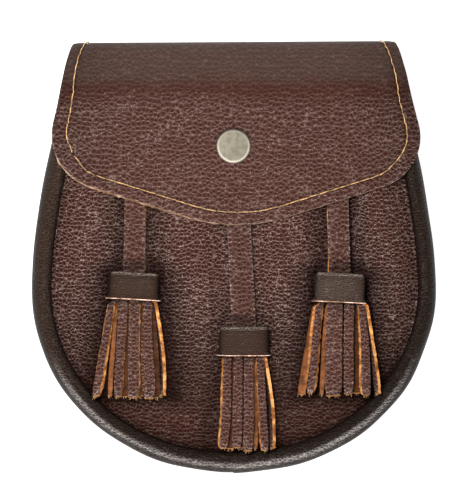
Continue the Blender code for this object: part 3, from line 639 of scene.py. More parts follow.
class Tree:
    """A node tree, and short ways to add nodes to it. Sockets are given by name or by number."""

    def __init__(self, data):
        self.data = data

    def add(self, kind, sockets=(), out=0, **settings):
        """What a new node puts out of its socket out."""
        node = self.data.nodes.new(kind)
        for key, value in settings.items():
            setattr(node, key, value)
        self.feed(node, dict(sockets))
        return Value(self, node.outputs[out])

    def feed(self, node, sockets):
        """Give a node's sockets their values or what is linked to them."""
        for key, value in sockets.items():
            if isinstance(value, Value):
                self.data.links.new(value.socket, node.inputs[key])
            else:
                node.inputs[key].default_value = value

    def math(self, operation, *values, **settings):
        return self.add("ShaderNodeMath", enumerate(values), operation=operation, **settings)

    def vector(self, operation, *values, out=0):
        return self.add("ShaderNodeVectorMath", enumerate(values), out, operation=operation)

    def combined(self, x=0.0, y=0.0, z=0.0):
        return self.add("ShaderNodeCombineXYZ", {0: x, 1: y, 2: z})

    def ramp(self, value, low, high, to_low=0.0, to_high=1.0):
        sockets = {"Value": value, "From Min": low, "From Max": high, "To Min": to_low, "To Max": to_high}
        return self.add("ShaderNodeMapRange", sockets, interpolation_type="SMOOTHSTEP")

    def noise(self, vector, scale, detail=2.0, roughness=0.5, out=0):
        sockets = {"Vector": vector, "Scale": scale, "Detail": detail, "Roughness": roughness}
        return self.add("ShaderNodeTexNoise", sockets, out)

    def mixed(self, share, first, second, way="MIX"):
        sockets = {0: share, 6: first, 7: second}
        return self.add("ShaderNodeMix", sockets, 2, data_type="RGBA", blend_type=way)

    def shaded(self, color, shade):
        """A colour times a value."""
        grey = self.add("ShaderNodeCombineColor", {0: shade, 1: shade, 2: shade})
        return self.mixed(1.0, color, grey, "MULTIPLY")

    def attribute(self, name):
        return self.add("ShaderNodeAttribute", (), "Fac", attribute_name=name)

    def bump(self, strength, distance, height):
        return self.add("ShaderNodeBump", {"Strength": strength, "Distance": distance, "Height": height})

    def group(self, name, make, sockets):
        """What a shared node group puts out, by name."""
        group = bpy.data.node_groups.get(name) or make(name)
        node = self.add("ShaderNodeGroup", sockets, node_tree=group).socket.node
        return {socket.name: Value(self, socket) for socket in node.outputs}

    def tube(self, curve, radius, sides):
        """A closed tube round a curve."""
        section = self.add("GeometryNodeCurvePrimitiveCircle", {"Resolution": sides, "Radius": radius})
        sockets = {"Curve": curve, "Profile Curve": section, "Fill Caps": True}
        return self.add("GeometryNodeCurveToMesh", sockets)

    def random(self, low, high, seed):
        return self.add("FunctionNodeRandomValue", {2: low, 3: high, "Seed": seed}, 1, data_type="FLOAT")

    def aimed(self, sockets, **settings):
        """A rotation that turns an axis to a vector."""
        return self.add("FunctionNodeAlignRotationToVector", sockets, **settings)

    def spun(self, turn, angle):
        """A rotation with a further turn about its own Z axis."""
        extra = self.add("FunctionNodeEulerToRotation", {0: self.combined(z=angle)})
        return self.add("FunctionNodeRotateRotation", {0: turn, 1: extra}, rotation_space="LOCAL")

    def placed(self, points, instance, turn, size):
        sockets = {"Points": points, "Instance": instance, "Rotation": turn, "Scale": size}
        return self.add("GeometryNodeInstanceOnPoints", sockets)

    def end(self, geometry, material, smooth=True):
        """Realize what the tree made, give it its material and put it out."""
        whole = self.add("GeometryNodeRealizeInstances", {0: geometry})
        if smooth:
            whole = self.add("GeometryNodeSetShadeSmooth", {"Geometry": whole})
        made = self.add("GeometryNodeSetMaterial", {"Geometry": whole, "Material": material})
        self.feed(self.result, {"Geometry": made})


def new_group(name, kind, inputs, outputs):
    """A node group and what its inputs give. inputs has each one's default, or its type if it has
    none, and outputs has each one's type."""
    data = bpy.data.node_groups.new(name, kind)
    for key, default in inputs.items():
        number = {float: "Float", int: "Int"}.get(type(default))
        socket_type = f"NodeSocket{number or default}"
        socket = data.interface.new_socket(key, in_out="INPUT", socket_type=socket_type)
        if number:
            socket.default_value = default
    for key, type_name in outputs.items():
        data.interface.new_socket(key, in_out="OUTPUT", socket_type=f"NodeSocket{type_name}")
    tree = Tree(data)
    given = data.nodes.new("NodeGroupInput").outputs
    tree.result = data.nodes.new("NodeGroupOutput")
    return tree, {key: Value(tree, given[key]) for key in inputs}


def pebbled_grain(name):
    """A grain of small pits with ridges between them and a fine skin on top. Its second output is a
    painted highlight on the ridges, broken up and strongest where they run across the hide, with a
    painted sheen on the pebbles; Shade is the painted shade of the pits."""
    inputs = {"Vector": "Vector", "Width": 2 * MM, "Height": 1.5 * MM, "Crease": 0.3}
    inputs |= {"Skin": 0.15, "Sheen": 0.1}
    outputs = dict.fromkeys(("Relief", "Polish", "Shade"), "Float")
    tree, given = new_group(name, "ShaderNodeTree", inputs, outputs)
    across = tree.math("DIVIDE", 1.0, given["Width"])
    up = tree.math("DIVIDE", 1.0, given["Height"])
    spot = tree.vector("MULTIPLY", given["Vector"], tree.combined(across, up, up * 0.8))
    drift = tree.vector("SUBTRACT", tree.noise(spot, 0.75, out="Color"), (0.5, 0.5, 0.5))
    spot = tree.vector("ADD", spot, tree.vector("MULTIPLY", drift, (0.8, 0.5, 0.5)))
    cells = {"Vector": spot, "Scale": 1.0, "Randomness": 0.8}
    to_edge = tree.add("ShaderNodeTexVoronoi", cells, feature="DISTANCE_TO_EDGE")
    middle = tree.add("ShaderNodeTexVoronoi", cells, "Position", feature="F1")
    away = tree.vector("SUBTRACT", spot, middle)
    from_middle = tree.vector("LENGTH", tree.vector("MULTIPLY", away, (1.2, 1.6, 0.2)), out="Value")
    aside, above = (tree.math("ABSOLUTE", tree.add("ShaderNodeSeparateXYZ", {0: away}, k)) for k in (0, 1))
    upright = tree.math("DIVIDE", above, aside + above + 0.02)
    chips = tree.noise(tree.vector("MULTIPLY", spot, (1.7, 1.0, 1.0)), 3.4)
    # Painted highlight on the ridges, strongest where they run across the hide, broken into dashes.
    ridge_highlight = tree.ramp(to_edge, 0.14, 0.02) * tree.ramp(upright, 0.3, 0.75, 0.1, 1.0)
    ridge_highlight = ridge_highlight * tree.ramp(chips, 0.36, 0.64, 0.2, 1.1)
    pit = tree.ramp(from_middle, 0.44, 0.06)
    relief = tree.noise(spot, 3.2, 3.0, 0.6) * given["Skin"] + tree.ramp(to_edge, given["Crease"], 0.0)
    tree.feed(tree.result, {"Relief": relief, "Polish": ridge_highlight + (1.0 - pit) * given["Sheen"], "Shade": pit})
    return tree.data


def hide_drift(name):
    """Slow changes of tone over a hide, 1 on average."""
    inputs = {"Vector": "Vector", "Patch": 24 * MM, "Amount": 0.3}
    tree, given = new_group(name, "ShaderNodeTree", inputs, {"Tone": "Float"})
    scale = tree.math("DIVIDE", 1.0, given["Patch"])
    wide = tree.noise(given["Vector"], scale)
    small = tree.noise(given["Vector"], scale * 5.0)
    tree.feed(tree.result, {"Tone": (small * 0.5 + (wide - 0.75)) * given["Amount"] + 1.0})
    return tree.data


def cut_leather(name):
    """Colour and fibre relief of leather that may be cut or turned flesh side up."""
    inputs = dict.fromkeys(("Grain Color", "Cut Color", "Flesh Color"), "Color")
    inputs = {"Vector": "Vector", **inputs, "Cut": 0.0, "Flesh": 0.0}
    outputs = {"Color": "Color", "Fibres": "Float", "Bare": "Float"}
    tree, given = new_group(name, "ShaderNodeTree", inputs, outputs)
    fibres = tree.noise(given["Vector"], 2600.0, 3.0, 0.65)
    tufts = tree.noise(given["Vector"], 700.0, 2.0, 0.6)
    patches = tree.ramp(tree.noise(given["Vector"], 230.0, 3.0, 0.65), 0.36, 0.64)
    shade = (fibres * 0.6 + tufts * 0.9 + 0.25) * (patches * 0.85 + 0.65)
    flesh = tree.shaded(given["Flesh Color"], shade)
    # Painted shade on the cut edges: a darker, redder copy of the cut colour, spread in random patches.
    shaded_cut = tree.mixed(1.0, given["Cut Color"], (0.68, 0.50, 0.36, 1), "MULTIPLY")
    cut = tree.shaded(tree.mixed(patches, shaded_cut, given["Cut Color"]), shade)
    color = tree.mixed(given["Flesh"], given["Grain Color"], flesh)
    color = tree.mixed(tree.ramp(given["Cut"], 0.3, 0.8), color, cut)
    bare = tree.math("MAXIMUM", given["Cut"], given["Flesh"])
    tree.feed(tree.result, {"Color": color, "Fibres": fibres, "Bare": bare})
    return tree.data


# ---------------------------------------------------------------- materials


def new_material(name):
    """A material, its tree, its shader and the place on the object that it colours."""
    material = bpy.data.materials.new(name)
    material.use_nodes = True
    tree = Tree(material.node_tree)
    place = tree.add("ShaderNodeTexCoord", (), "Object")
    return material, tree, tree.data.nodes["Principled BSDF"], place


def shared_material(name, make, *values):
    return bpy.data.materials.get(name) or make(name, *values)


# What a leather looks like. color worn polish cut: grain side, rubbed wear
# and painted sheen, painted highlight on the ridges, cut edge; pebble: width and height of a pebble;
# crease skin sheen: how wide the creases are, how rough the skin is and how much painted sheen the
# pebbles get; depth: of the relief; rough shine: of the surface; drift pits line: how strong the
# drift of tone, the pits' painted shade and the painted highlight lines are.
LOOK_FIELDS = "color cut worn polish pebble crease skin sheen depth rough drift line pits shine"
Leather = namedtuple("Leather", LOOK_FIELDS)


def leather_material(name, look):
    """Grained leather. The attributes raw and flesh say where it is cut or bare; three more give
    painted shade, rubbed wear with a painted highlight, and grain smoothed over the fold under a
    painted sheen."""
    material, tree, shader, place = new_material(name)
    sizes = {"Width": look.pebble[0], "Height": look.pebble[1]}
    sizes |= {"Crease": look.crease, "Skin": look.skin, "Sheen": look.sheen}
    grain = tree.group("Pebbled Grain", pebbled_grain, {"Vector": place, **sizes})
    tone_here = tree.group("Hide Drift", hide_drift, {"Vector": place, "Amount": look.drift})["Tone"]
    painted_shade, wear_and_painted_highlight, smooth_and_sheen = (tree.attribute(key) for key in ("painted_shade", "wear_and_painted_highlight", "smooth_and_sheen"))
    lively = tree.ramp(smooth_and_sheen, 0.0, 0.6, 1.0, 0.35)
    # Over the fold the grain is smoothed and its colour goes toward the worn colour: a painted sheen.
    skin = tree.mixed(tree.ramp(smooth_and_sheen, 0.45, 1.0, 0.0, 0.72), (*look.color, 1), (*look.worn, 1))
    color = tree.shaded(skin, grain["Shade"] * lively * -look.pits + tone_here)
    # Rubbed wear and painted highlight: toward the worn colour, over the grain's relief.
    color = tree.mixed(wear_and_painted_highlight * grain["Relief"], color, (*look.worn, 1))
    # Painted shade: darker where the point attribute for it is high.
    color = tree.shaded(color, painted_shade * -0.8 + 1.0)
    # Painted highlights on the ridges, stronger on rubbed places and faded out in painted shade.
    strength = (wear_and_painted_highlight * 1.5 + look.line) * (tree.math("POWER", painted_shade, 3.0) * -0.95 + 1.0)
    polish = tree.math("MULTIPLY", grain["Polish"] * lively, strength, use_clamp=True)
    color = tree.mixed(polish, color, (*look.polish, 1))
    flesh = bpy.context.scene.sporran_leather.flesh
    colors = {"Grain Color": color, "Cut Color": (*look.cut, 1), "Flesh Color": (*flesh, 1)}
    states = {"Cut": tree.attribute("raw"), "Flesh": tree.attribute("flesh")}
    cut = tree.group("Cut Leather", cut_leather, {"Vector": place, **colors, **states})
    bare = cut["Bare"]
    whole = tree.math("SUBTRACT", 1.0, bare, use_clamp=True)
    relief = grain["Relief"] * lively * whole + cut["Fibres"] * bare
    sockets = {
        "Base Color": cut["Color"],
        "Roughness": tree.math("MAXIMUM", polish * -0.15 + look.rough, bare * 0.9),
        "Normal": tree.bump(1.0, look.depth, relief),
        "Specular IOR Level": look.shine,
    }
    tree.feed(shader, sockets)
    return material


def brown_leather(name, tint=(1.0, 1.0, 1.0), fine=1.0, **look):
    """The brown leather, tinted, with its pebbles fine times as large and what else look says."""
    given = bpy.context.scene.sporran_leather
    plain = {
        "color": tuple(share * part for share, part in zip(given.brown, tint)),
        "cut": given.cut,
        "worn": given.worn,
        "polish": given.polish,
        "pebble": (given.pebble_width * fine, given.pebble_height * fine),
    }
    plain |= {"crease": 0.45, "skin": 0.3, "sheen": 0.1, "rough": 0.5}
    plain |= {"drift": 0.22, "pits": 0.5, "shine": 0.02}
    return shared_material(name, leather_material, Leather(**(plain | look)))


def dark_leather(name, **look):
    """The smooth dark leather of the gusset and the collars."""
    given = bpy.context.scene.sporran_leather
    plain = {"color": given.dark, "worn": given.sheen, "polish": (0.60, 0.55, 0.53)}
    plain |= {"crease": 0.4, "skin": 0.3, "sheen": 0.1, "drift": 0.45}
    return shared_material(name, leather_material, Leather(**(plain | look)))


def strap_leather():
    # The straps' and belt loops' cut edges get a much brighter colour than other cut edges: painted light on
    # edges that lie in shade.
    look = {"depth": 0.2 * MM, "line": 0.25, "cut": (0.95, 0.45, 0.14), "shine": 0.03}
    return brown_leather("strap_leather", **look)


def thread_material(name):
    """Waxed thread with its twist."""
    material, tree, shader, place = new_material(name)
    twist = tree.noise(place, 1800.0)
    dirt = tree.ramp(tree.noise(place, 330.0), 0.38, 0.62, 0.35, 1.15)
    color = tree.shaded((*bpy.context.scene.sporran_stitches.thread, 1), twist * 0.5 + dirt)
    bump = tree.bump(0.6, 0.15 * MM, twist)
    tree.feed(shader, {"Base Color": color, "Normal": bump, "Roughness": 0.6})
    return material


def nickel_material(name):
    """Satin nickel plate with faint handling marks, and a painted highlight on its rim from a point
    attribute.
    """
    material, tree, shader, place = new_material(name)
    smudge = tree.noise(place, 420.0, 3.0)
    color = tree.mixed(tree.ramp(smudge, 0.3, 0.7), (0.115, 0.104, 0.08, 1), (0.205, 0.187, 0.148, 1))
    # Painted highlight on the rim.
    color = tree.mixed(tree.attribute("wear_and_painted_highlight"), color, (0.85, 0.80, 0.68, 1))
    bump = tree.bump(0.35, 0.04 * MM, tree.noise(place, 3000.0))
    sockets = {"Base Color": color, "Roughness": smudge * 0.2 + 0.55, "Normal": bump, "Metallic": 1.0}
    tree.feed(shader, sockets)
    return material


def fluff_material(name):
    """Pale fibres of raw leather."""
    material, tree, shader, place = new_material(name)
    color = tree.mixed(tree.noise(place, 500.0, 1.0), (0.42, 0.20, 0.08, 1), (0.80, 0.52, 0.26, 1))
    tree.feed(shader, {"Base Color": color, "Roughness": 0.85})
    return material


# ---------------------------------------------------------------- what geometry nodes make


def stitch_run(name):
    """Stitches along lines whose attribute up points away from the leather."""
    inputs = {
        "Geometry": "Geometry",
        "Pitch": 4.7 * MM,
        "Length Share": 0.96,
        "Thread Radius": 0.24 * MM,
        "Rise": 0.45 * MM,
        "Seed": 7,
        "Thread": "Material",
    }
    tree, given = new_group(name, "GeometryNodeTree", inputs, {"Geometry": "Geometry"})
    line = tree.add("GeometryNodeMeshToCurve", {0: given["Geometry"]})
    line = tree.add("GeometryNodeResampleCurve", {"Curve": line, "Length": given["Pitch"]}, mode="LENGTH")
    half = given["Pitch"] * given["Length Share"] * 0.5
    sink = given["Thread Radius"] * -0.9
    top = given["Rise"] * 2.0
    sockets = {
        "Resolution": 6,
        "Start": tree.combined(half * -1.0, z=sink),
        "Start Handle": tree.combined(half * -0.85, z=top),
        "End Handle": tree.combined(half * 0.85, z=top),
        "End": tree.combined(half, z=sink),
    }
    arch = tree.add("GeometryNodeCurvePrimitiveBezierSegment", sockets)
    stitch = tree.tube(arch, given["Thread Radius"], 6)
    up = tree.add("GeometryNodeInputNamedAttribute", {"Name": "up"}, data_type="FLOAT_VECTOR")
    turn = tree.aimed({"Vector": tree.add("GeometryNodeInputTangent")}, axis="X")
    turn = tree.aimed({"Rotation": turn, "Vector": up}, axis="Z", pivot_axis="X")
    turn = tree.spun(turn, tree.random(-0.05, 0.05, given["Seed"]))
    size = tree.random(0.9, 1.06, given["Seed"] + 1.0)
    tree.end(tree.placed(line, stitch, turn, size), given["Thread"])
    return tree.data


def swept_band(name):
    """A band of leather round a closed line in the XY plane, as high as Height along Z."""
    inputs = {
        "Geometry": "Geometry",
        "Height": 12 * MM,
        "Wall": 1.3 * MM,
        "Lip": 1.2 * MM,
        "Flare": 0.8 * MM,
        "Leather": "Material",
    }
    tree, given = new_group(name, "GeometryNodeTree", inputs, {"Geometry": "Geometry"})
    line = tree.add("GeometryNodeMeshToCurve", {0: given["Geometry"]})
    line = tree.add("GeometryNodeSetCurveNormal", {"Curve": line}, mode="Z_UP")
    sockets = {"Width": given["Wall"], "Height": given["Height"]}
    section = tree.add("GeometryNodeCurvePrimitiveQuadrilateral", sockets)
    sockets = {"Curve": section, "Radius": given["Wall"] * 0.42, "Count": 3}
    section = tree.add("GeometryNodeFilletCurve", sockets, mode="POLY")
    section = tree.add("GeometryNodeSubdivideCurve", {"Curve": section, "Cuts": 9})
    high = tree.add("ShaderNodeSeparateXYZ", {0: tree.add("GeometryNodeInputPosition")}, 1)
    half = given["Height"] * 0.5
    inward = tree.ramp(high, half - 2.4 * MM, half) * given["Lip"]
    outward = tree.ramp(high, half * -1.0 + 3.2 * MM, half * -1.0) * given["Flare"]
    sockets = {"Geometry": section, "Offset": tree.combined(inward - outward)}
    section = tree.add("GeometryNodeSetPosition", sockets)
    tree.end(tree.add("GeometryNodeCurveToMesh", {"Curve": line, "Profile Curve": section}), given["Leather"])
    return tree.data


def loose_fibres(name):
    """Short curved fibres that stand out of points, along their attribute lie."""
    inputs = {
        "Geometry": "Geometry",
        "Length": 1.3 * MM,
        "Thickness": 0.07 * MM,
        "Spread": 0.5,
        "Seed": 3,
        "Fibre": "Material",
    }
    tree, given = new_group(name, "GeometryNodeTree", inputs, {"Geometry": "Geometry"})
    points = tree.add("GeometryNodeMeshToPoints", {0: given["Geometry"]})
    length = given["Length"]
    sockets = {
        "Resolution": 4,
        "Start": (0.0, 0.0, 0.0),
        "Middle": tree.combined(length * 0.25, z=length * 0.6),
        "End": tree.combined(length * -0.15, z=length),
    }
    hair = tree.add("GeometryNodeCurveQuadraticBezier", sockets)
    share = tree.add("GeometryNodeSplineParameter", (), "Factor")
    hair = tree.add("GeometryNodeSetCurveRadius", {"Curve": hair, "Radius": share * -0.7 + 1.0})
    fibre = tree.tube(hair, given["Thickness"], 3)
    lie = tree.add("GeometryNodeInputNamedAttribute", {"Name": "lie"}, data_type="FLOAT_VECTOR")
    wide = tree.combined(given["Spread"], given["Spread"], given["Spread"])
    sockets = {0: tree.vector("MULTIPLY", wide, (-1.0, -1.0, -1.0)), 1: wide, "Seed": given["Seed"]}
    stray = tree.add("FunctionNodeRandomValue", sockets, data_type="FLOAT_VECTOR")
    turn = tree.aimed({"Vector": tree.vector("ADD", lie, stray)}, axis="Z")
    turn = tree.spun(turn, tree.random(0.0, math.tau, given["Seed"] + 1.0))
    size = tree.random(0.4, 1.3, given["Seed"] + 2.0)
    tree.end(tree.placed(points, fibre, turn, size), given["Fibre"], smooth=False)
    return tree.data


def run_tree(name, mesh, title, make, settings):
    """The plain mesh that a shared tree makes of a mesh, with these values for its named inputs."""
    tree = bpy.data.node_groups.get(title) or make(title)
    obj = new_object(f"{name}_lines", mesh)
    modifier = obj.modifiers.new(title, "NODES")
    modifier.node_group = tree
    for item in tree.interface.items_tree:
        if item.item_type == "SOCKET" and item.in_out == "INPUT" and item.name in settings:
            modifier[item.identifier] = settings[item.name]
    depsgraph = bpy.context.evaluated_depsgraph_get()
    result = bpy.data.meshes.new_from_object(obj.evaluated_get(depsgraph), depsgraph=depsgraph)
    result.name = name
    obj.modifiers.remove(modifier)
    bpy.data.objects.remove(obj)
    return result


def sewn(name, lines, body, slot):
    """Stitches along lines of points that lie close to a mesh, set down on its surface. lines
    gives each line and whether it is closed."""
    stitches = bpy.context.scene.sporran_stitches
    surface = BVHTree.FromPolygons([v.co for v in body.vertices], [p.vertices for p in body.polygons])
    points, ups, edges = [], [], []
    for line, closed in lines:
        first = len(points)
        for point in line:
            place, normal, _, _ = surface.find_nearest(Vector(point))
            points.append(place)
            ups.append(normal)
        edges += [(i, i + 1) for i in range(first, len(points) - 1)]
        if closed:
            edges.append((len(points) - 1, first))
    settings = {
        "Pitch": stitches.pitch,
        "Thread Radius": stitches.radius,
        "Seed": stitches.seed,
        "Thread": shared_material("waxed_thread", thread_material),
    }
    made = run_tree(name, new_mesh(name, points, edges, up=ups), "Stitch Run", stitch_run, settings)
    finished(name, made, None, slot)


# ---------------------------------------------------------------- pouch


def inside_fold(x, y, z):
    """Whether a point lies well inside the fold of the flap."""
    front = z > FOLD_MIDDLE_Z
    fold_y = FOLD_Y if front else BACK_FOLD_Y
    under = flap_height(x, y) - FLAP_WALL if front else BACK_Z - GAP
    reach = abs(under - FOLD_MIDDLE_Z) - GUSSET_END_CLEARANCE
    run = TOP_Y - FLAP_WALL - GUSSET_END_CLEARANCE - fold_y
    return (max(y - fold_y, 0.0) / run) ** 2 + ((z - FOLD_MIDDLE_Z) / reach) ** 2 <= 1.0


def gusset_end_y(out, level, at_front):
    """Where one line of the gusset stops: at the flap's fold, or at the back panel's shoulder."""
    for y in np.arange(TOP_Y, BACK_ROLL_END_Y, -0.25 * MM):
        x = side_half_width(y) - RIM_WIDTH + out
        z = crest(y) - level if at_front else level
        shoulder = BACK_ROLL_END_Y + SHOULDER_SLOPE * (z - BACK_Z)
        if y < shoulder and inside_fold(x, y, z):
            return y
    return BACK_ROLL_END_Y


def gusset_section(steps):
    """(out from the seam, height above the floor or below the crest, at the front) from the back
    seam to the front seam."""
    quarter = np.linspace(0.0, math.pi / 2, steps + 1)
    fall_out = RIM_WIDTH - ROLL_CREST_OUT

    def inner(angle, dip):
        return ROLL_CREST_OUT * (1 - math.sin(angle)), dip * (1 - math.cos(angle))

    def outer(angle):
        return ROLL_CREST_OUT + fall_out * math.sin(angle), ROLL_FALL * (1 - math.cos(angle))

    section = [(*inner(a, BACK_SEAM_DIP), False) for a in quarter[::-1]]
    section += [(*outer(a), False) for a in quarter[1:]]
    section += [(*outer(a), True) for a in quarter[::-1]]
    return section + [(*inner(a, FRONT_SEAM_DIP), True) for a in quarter[1:]]


def puckers(run, depth):
    """Small gathers that a seam draws into leather, from the length along the seam."""
    slip = 0.9 * MM * ripple(run, run * 0, 23, 5)
    strong = 0.55 + 0.45 * ripple(run, run * 0, 17, 6)
    return strong * np.sin(math.tau * (run + slip + 0.45 * depth) / (2.7 * MM))


class SPORRAN_OT_gusset(bpy.types.Operator):
    """Make the rolled strip round the sides and the bottom"""

    bl_idname = "sporran.gusset"
    bl_label = "Gusset"

    def execute(self, context):
        columns = 620
        rows, outs = [], []
        for out, level, at_front in gusset_section(ROLL_STEPS):
            points, normals, run = outline_path(gusset_end_y(out, level, at_front), columns)
            x, y = points.T
            gather = 0.16 * MM * peak(out, 0, 2.6) * puckers(run, out)
            uneven = 0.18 * MM * ripple(run, np.full_like(run, level), 26, 21) * rise(out, 0, 3)
            fuller = 0.35 * MM * rise(-y, 35, 30) * (1 + 0.5 * np.sign(x))
            level_here = level - gather - (0.4 * uneven if out < ROLL_CREST_OUT else 0)
            outward = (uneven + fuller) * (out > ROLL_CREST_OUT)
            if at_front:
                right = rise(x, 40, 30) * rise(y, -60, 40)
                outward = outward + MM * right * (1 - out / RIM_WIDTH)
                z = crest(y) - level_here
            else:
                z = np.maximum(level_here, 0.0) if level > GAP else np.full(len(run), level)
            plane = points - normals * (RIM_WIDTH - out - outward)[:, None]
            rows.append(np.column_stack([plane, z]))
            outs.append(out if at_front else RIM_WIDTH)
        crease = 2 * ROLL_STEPS + 2  # the row above the crease that runs below the front roll
        _, normals, _ = outline_path(BACK_ROLL_END_Y, columns)
        fill = []
        for share in np.linspace(0, 1, 9)[1:-1]:
            row = rows[crease - 1] + (rows[crease] - rows[crease - 1]) * share
            row[:, :2] -= normals * (0.9 * MM * math.sin(math.pi * share) ** 1.5)
            fill.append(row)
        grid = np.array(rows[:crease] + fill + rows[crease:])
        out = np.array(outs[:crease] + [RIM_WIDTH] * len(fill) + outs[crease:])[:, None]
        x, y, z = np.moveaxis(grid, 2, 0)
        # Painted shade: darker in the front seam's groove, on the inner roll towards the bottom, on the
        # outermost rows of the front roll and over the right side. Painted highlight: a pale band along the
        # lower roll, a little stronger on the right.
        groove_shade = 0.9 * peak(out, 0, 1.8) * (z > FOLD_MIDDLE_Z)
        low_inner_shade = 0.75 * rise(-y, 15, 60) * (out < 4.6 * MM)
        outer = 0.45 * rise(out, 6.8, 1) * rise(z, 14, 8)
        right_side_shade = 0.58 * rise(x, 30, 40)
        painted_highlight_band = peak(out, 5.9, 1.1) * (z > 20 * MM)
        masks = {
            "painted_shade": 1 - (1 - groove_shade) * (1 - low_inner_shade) * (1 - outer) * (1 - right_side_shade),
            "wear_and_painted_highlight": painted_highlight_band * rise(-y, 38, 30) * (0.58 + 0.1 * np.sign(x)),
        }
        mesh = sheet_mesh("gusset", grid, GUSSET_WALL, 0.1 * MM, masks)
        look = {"pebble": (1.4 * MM, 1.25 * MM), "depth": 0.3 * MM, "rough": 0.45, "line": 0.07, "pits": 0.45}
        leather = dark_leather("gusset_leather", cut=(0.06, 0.028, 0.014), shine=0.04, **look)
        finished("gusset", mesh, leather)
        return {"FINISHED"}


def panel_borders(end_y, count):
    """Left, lower and right border of a panel that is sewn into the gusset up to end_y, all from
    below or from the left, and the outline's points with their lengths from its bottom."""
    points, normals, run = outline_path(end_y, count)
    edge = points - normals * (RIM_WIDTH - SEAM_ALLOWANCE)
    corner = int(np.argmin(np.abs(edge[: count // 2, 1] - GRID_CORNER_Y)))
    last = count - corner
    return edge[corner::-1], edge[corner:last], edge[last - 1 :], points, run


class SPORRAN_OT_back_panel(bpy.types.Operator):
    """Make the flat back, with the tab that runs up inside the flap"""

    bl_idname = "sporran.back_panel"
    bl_label = "Back panel"

    def execute(self, context):
        _, low, right, _, _ = panel_borders(BACK_ROLL_END_Y, 701)
        tab = [(BACK_TAB_HALF, BACK_ROLL_END_Y), (BACK_TAB_HALF, BACK_TAB_TOP_Y)]
        v = np.linspace(0.0, 1.0, 90)
        u = np.linspace(0.0, 1.0, 100)
        right = resampled([*right, *tab], v)
        high = resampled([(-BACK_TAB_HALF, BACK_TAB_TOP_Y), tab[1]], u)
        plane = patch(right * (-1, 1), right, resampled(low, u), high, v, u)[:, ::-1]
        x, y = np.moveaxis(plane, 2, 0)
        grid = np.dstack([plane, BACK_Z + 0.12 * MM * ripple(x, y, 40, 31)])
        leather = brown_leather("back_leather", depth=0.26 * MM, line=0.4, shine=0.03)
        finished("back_panel", sheet_mesh("back_panel", grid, BACK_WALL, 0.1 * MM), leather)
        return {"FINISHED"}


class SPORRAN_OT_front_panel(bpy.types.Operator):
    """Make the domed front with its three valleys"""

    bl_idname = "sporran.front_panel"
    bl_label = "Front panel"

    def execute(self, context):
        left, low, right, points, run = panel_borders(FRONT_TOP_Y, 901)
        v = graded(125, 0.5, 0.95, 9, (True, False))
        u = graded(165, 0.5, 1.0, 9)
        left, right, low = resampled(left, v), resampled(right, v), resampled(low, u)
        plane = patch(left, right, low, resampled((left[-1], right[-1]), u), v, u)
        x, y = np.moveaxis(plane, 2, 0)
        turn = np.unwrap(np.arctan2(points[:, 0], -(points[:, 1] - WIDEST_Y)))
        run_here = np.interp(np.arctan2(x, -(y - WIDEST_Y)), turn, run)
        depth = inset(x, y) - RIM_WIDTH
        inside = np.maximum(depth, 0)
        gather = 0.28 * MM * rise(depth, 0, 1.5) * np.exp(-inside / (3.2 * MM)) * puckers(run_here, depth)
        off_snap = smoothstep((from_snap(x, y) - SNAP_FLAT) / SNAP_SHOULDER)
        soft = (hand_softness(x, y) + 0.12 * MM * ripple(x, y, 12, 12)) * off_snap
        z = front_height(x, y) + gather + soft * rise(depth, 0, 6)
        # Painted shade: darker beside the straps, collars and tassels, towards the bottom, a little on the
        # left above the bottom, and along the seam. Low on the belly the grain is calmer, with weaker painted
        # highlights and pit shade.
        low_shade = 0.3 * rise(-y, 0, 45) + 0.06 * rise(-x, 0, 60) * rise(y, -50, 40)
        edge_shade = 0.55 * peak(inside, 0, 2)
        masks = {
            "painted_shade": 1 - (1 - 0.95 * beside_hangers(x, y)) * (1 - low_shade) * (1 - edge_shade),
            "smooth_and_sheen": 0.4 * rise(-y, 28, 36) * (1 - rise(-y, 84, 8)),
        }
        mesh = sheet_mesh("front_panel", np.dstack([plane, z]), FRONT_WALL, 0.1 * MM, masks)
        look = {"tint": (0.78, 0.62, 0.61), "fine": 0.87, "depth": 0.32 * MM, "line": 0.43, "sheen": 0.06}
        finished("front_panel", mesh, brown_leather("panel_leather", **look))
        return {"FINISHED"}


# ---------------------------------------------------------------- flap and snap


def flap_front_borders():
    """Right border of the flap's front from its corner up to the fold, and its lower border."""
    corner_x, corner_y = FLAP_CORNER
    point = (0.0, FLAP_POINT_Y)
    side = (FOLD_HALF, FOLD_Y)
    corner = fillet(point, (corner_x, corner_y), side, FLAP_CORNER_RADIUS, 60)
    tip = fillet((-corner_x, corner_y), point, (corner_x, corner_y), FLAP_POINT_RADIUS, 60)
    mirrored = [(-x, y) for x, y in corner[::-1]]
    middle = len(corner) // 2
    return corner[middle:] + [side], mirrored[middle:] + tip + corner[: middle + 1]


def flap_row(x, y, z):
    return np.column_stack([x, np.full_like(x, y), np.broadcast_to(z, x.shape)])


def right_fullness(x):
    """How much further the flap reaches on its right side than on its left."""
    return 0.6 * MM * rise(x, 0, 60)


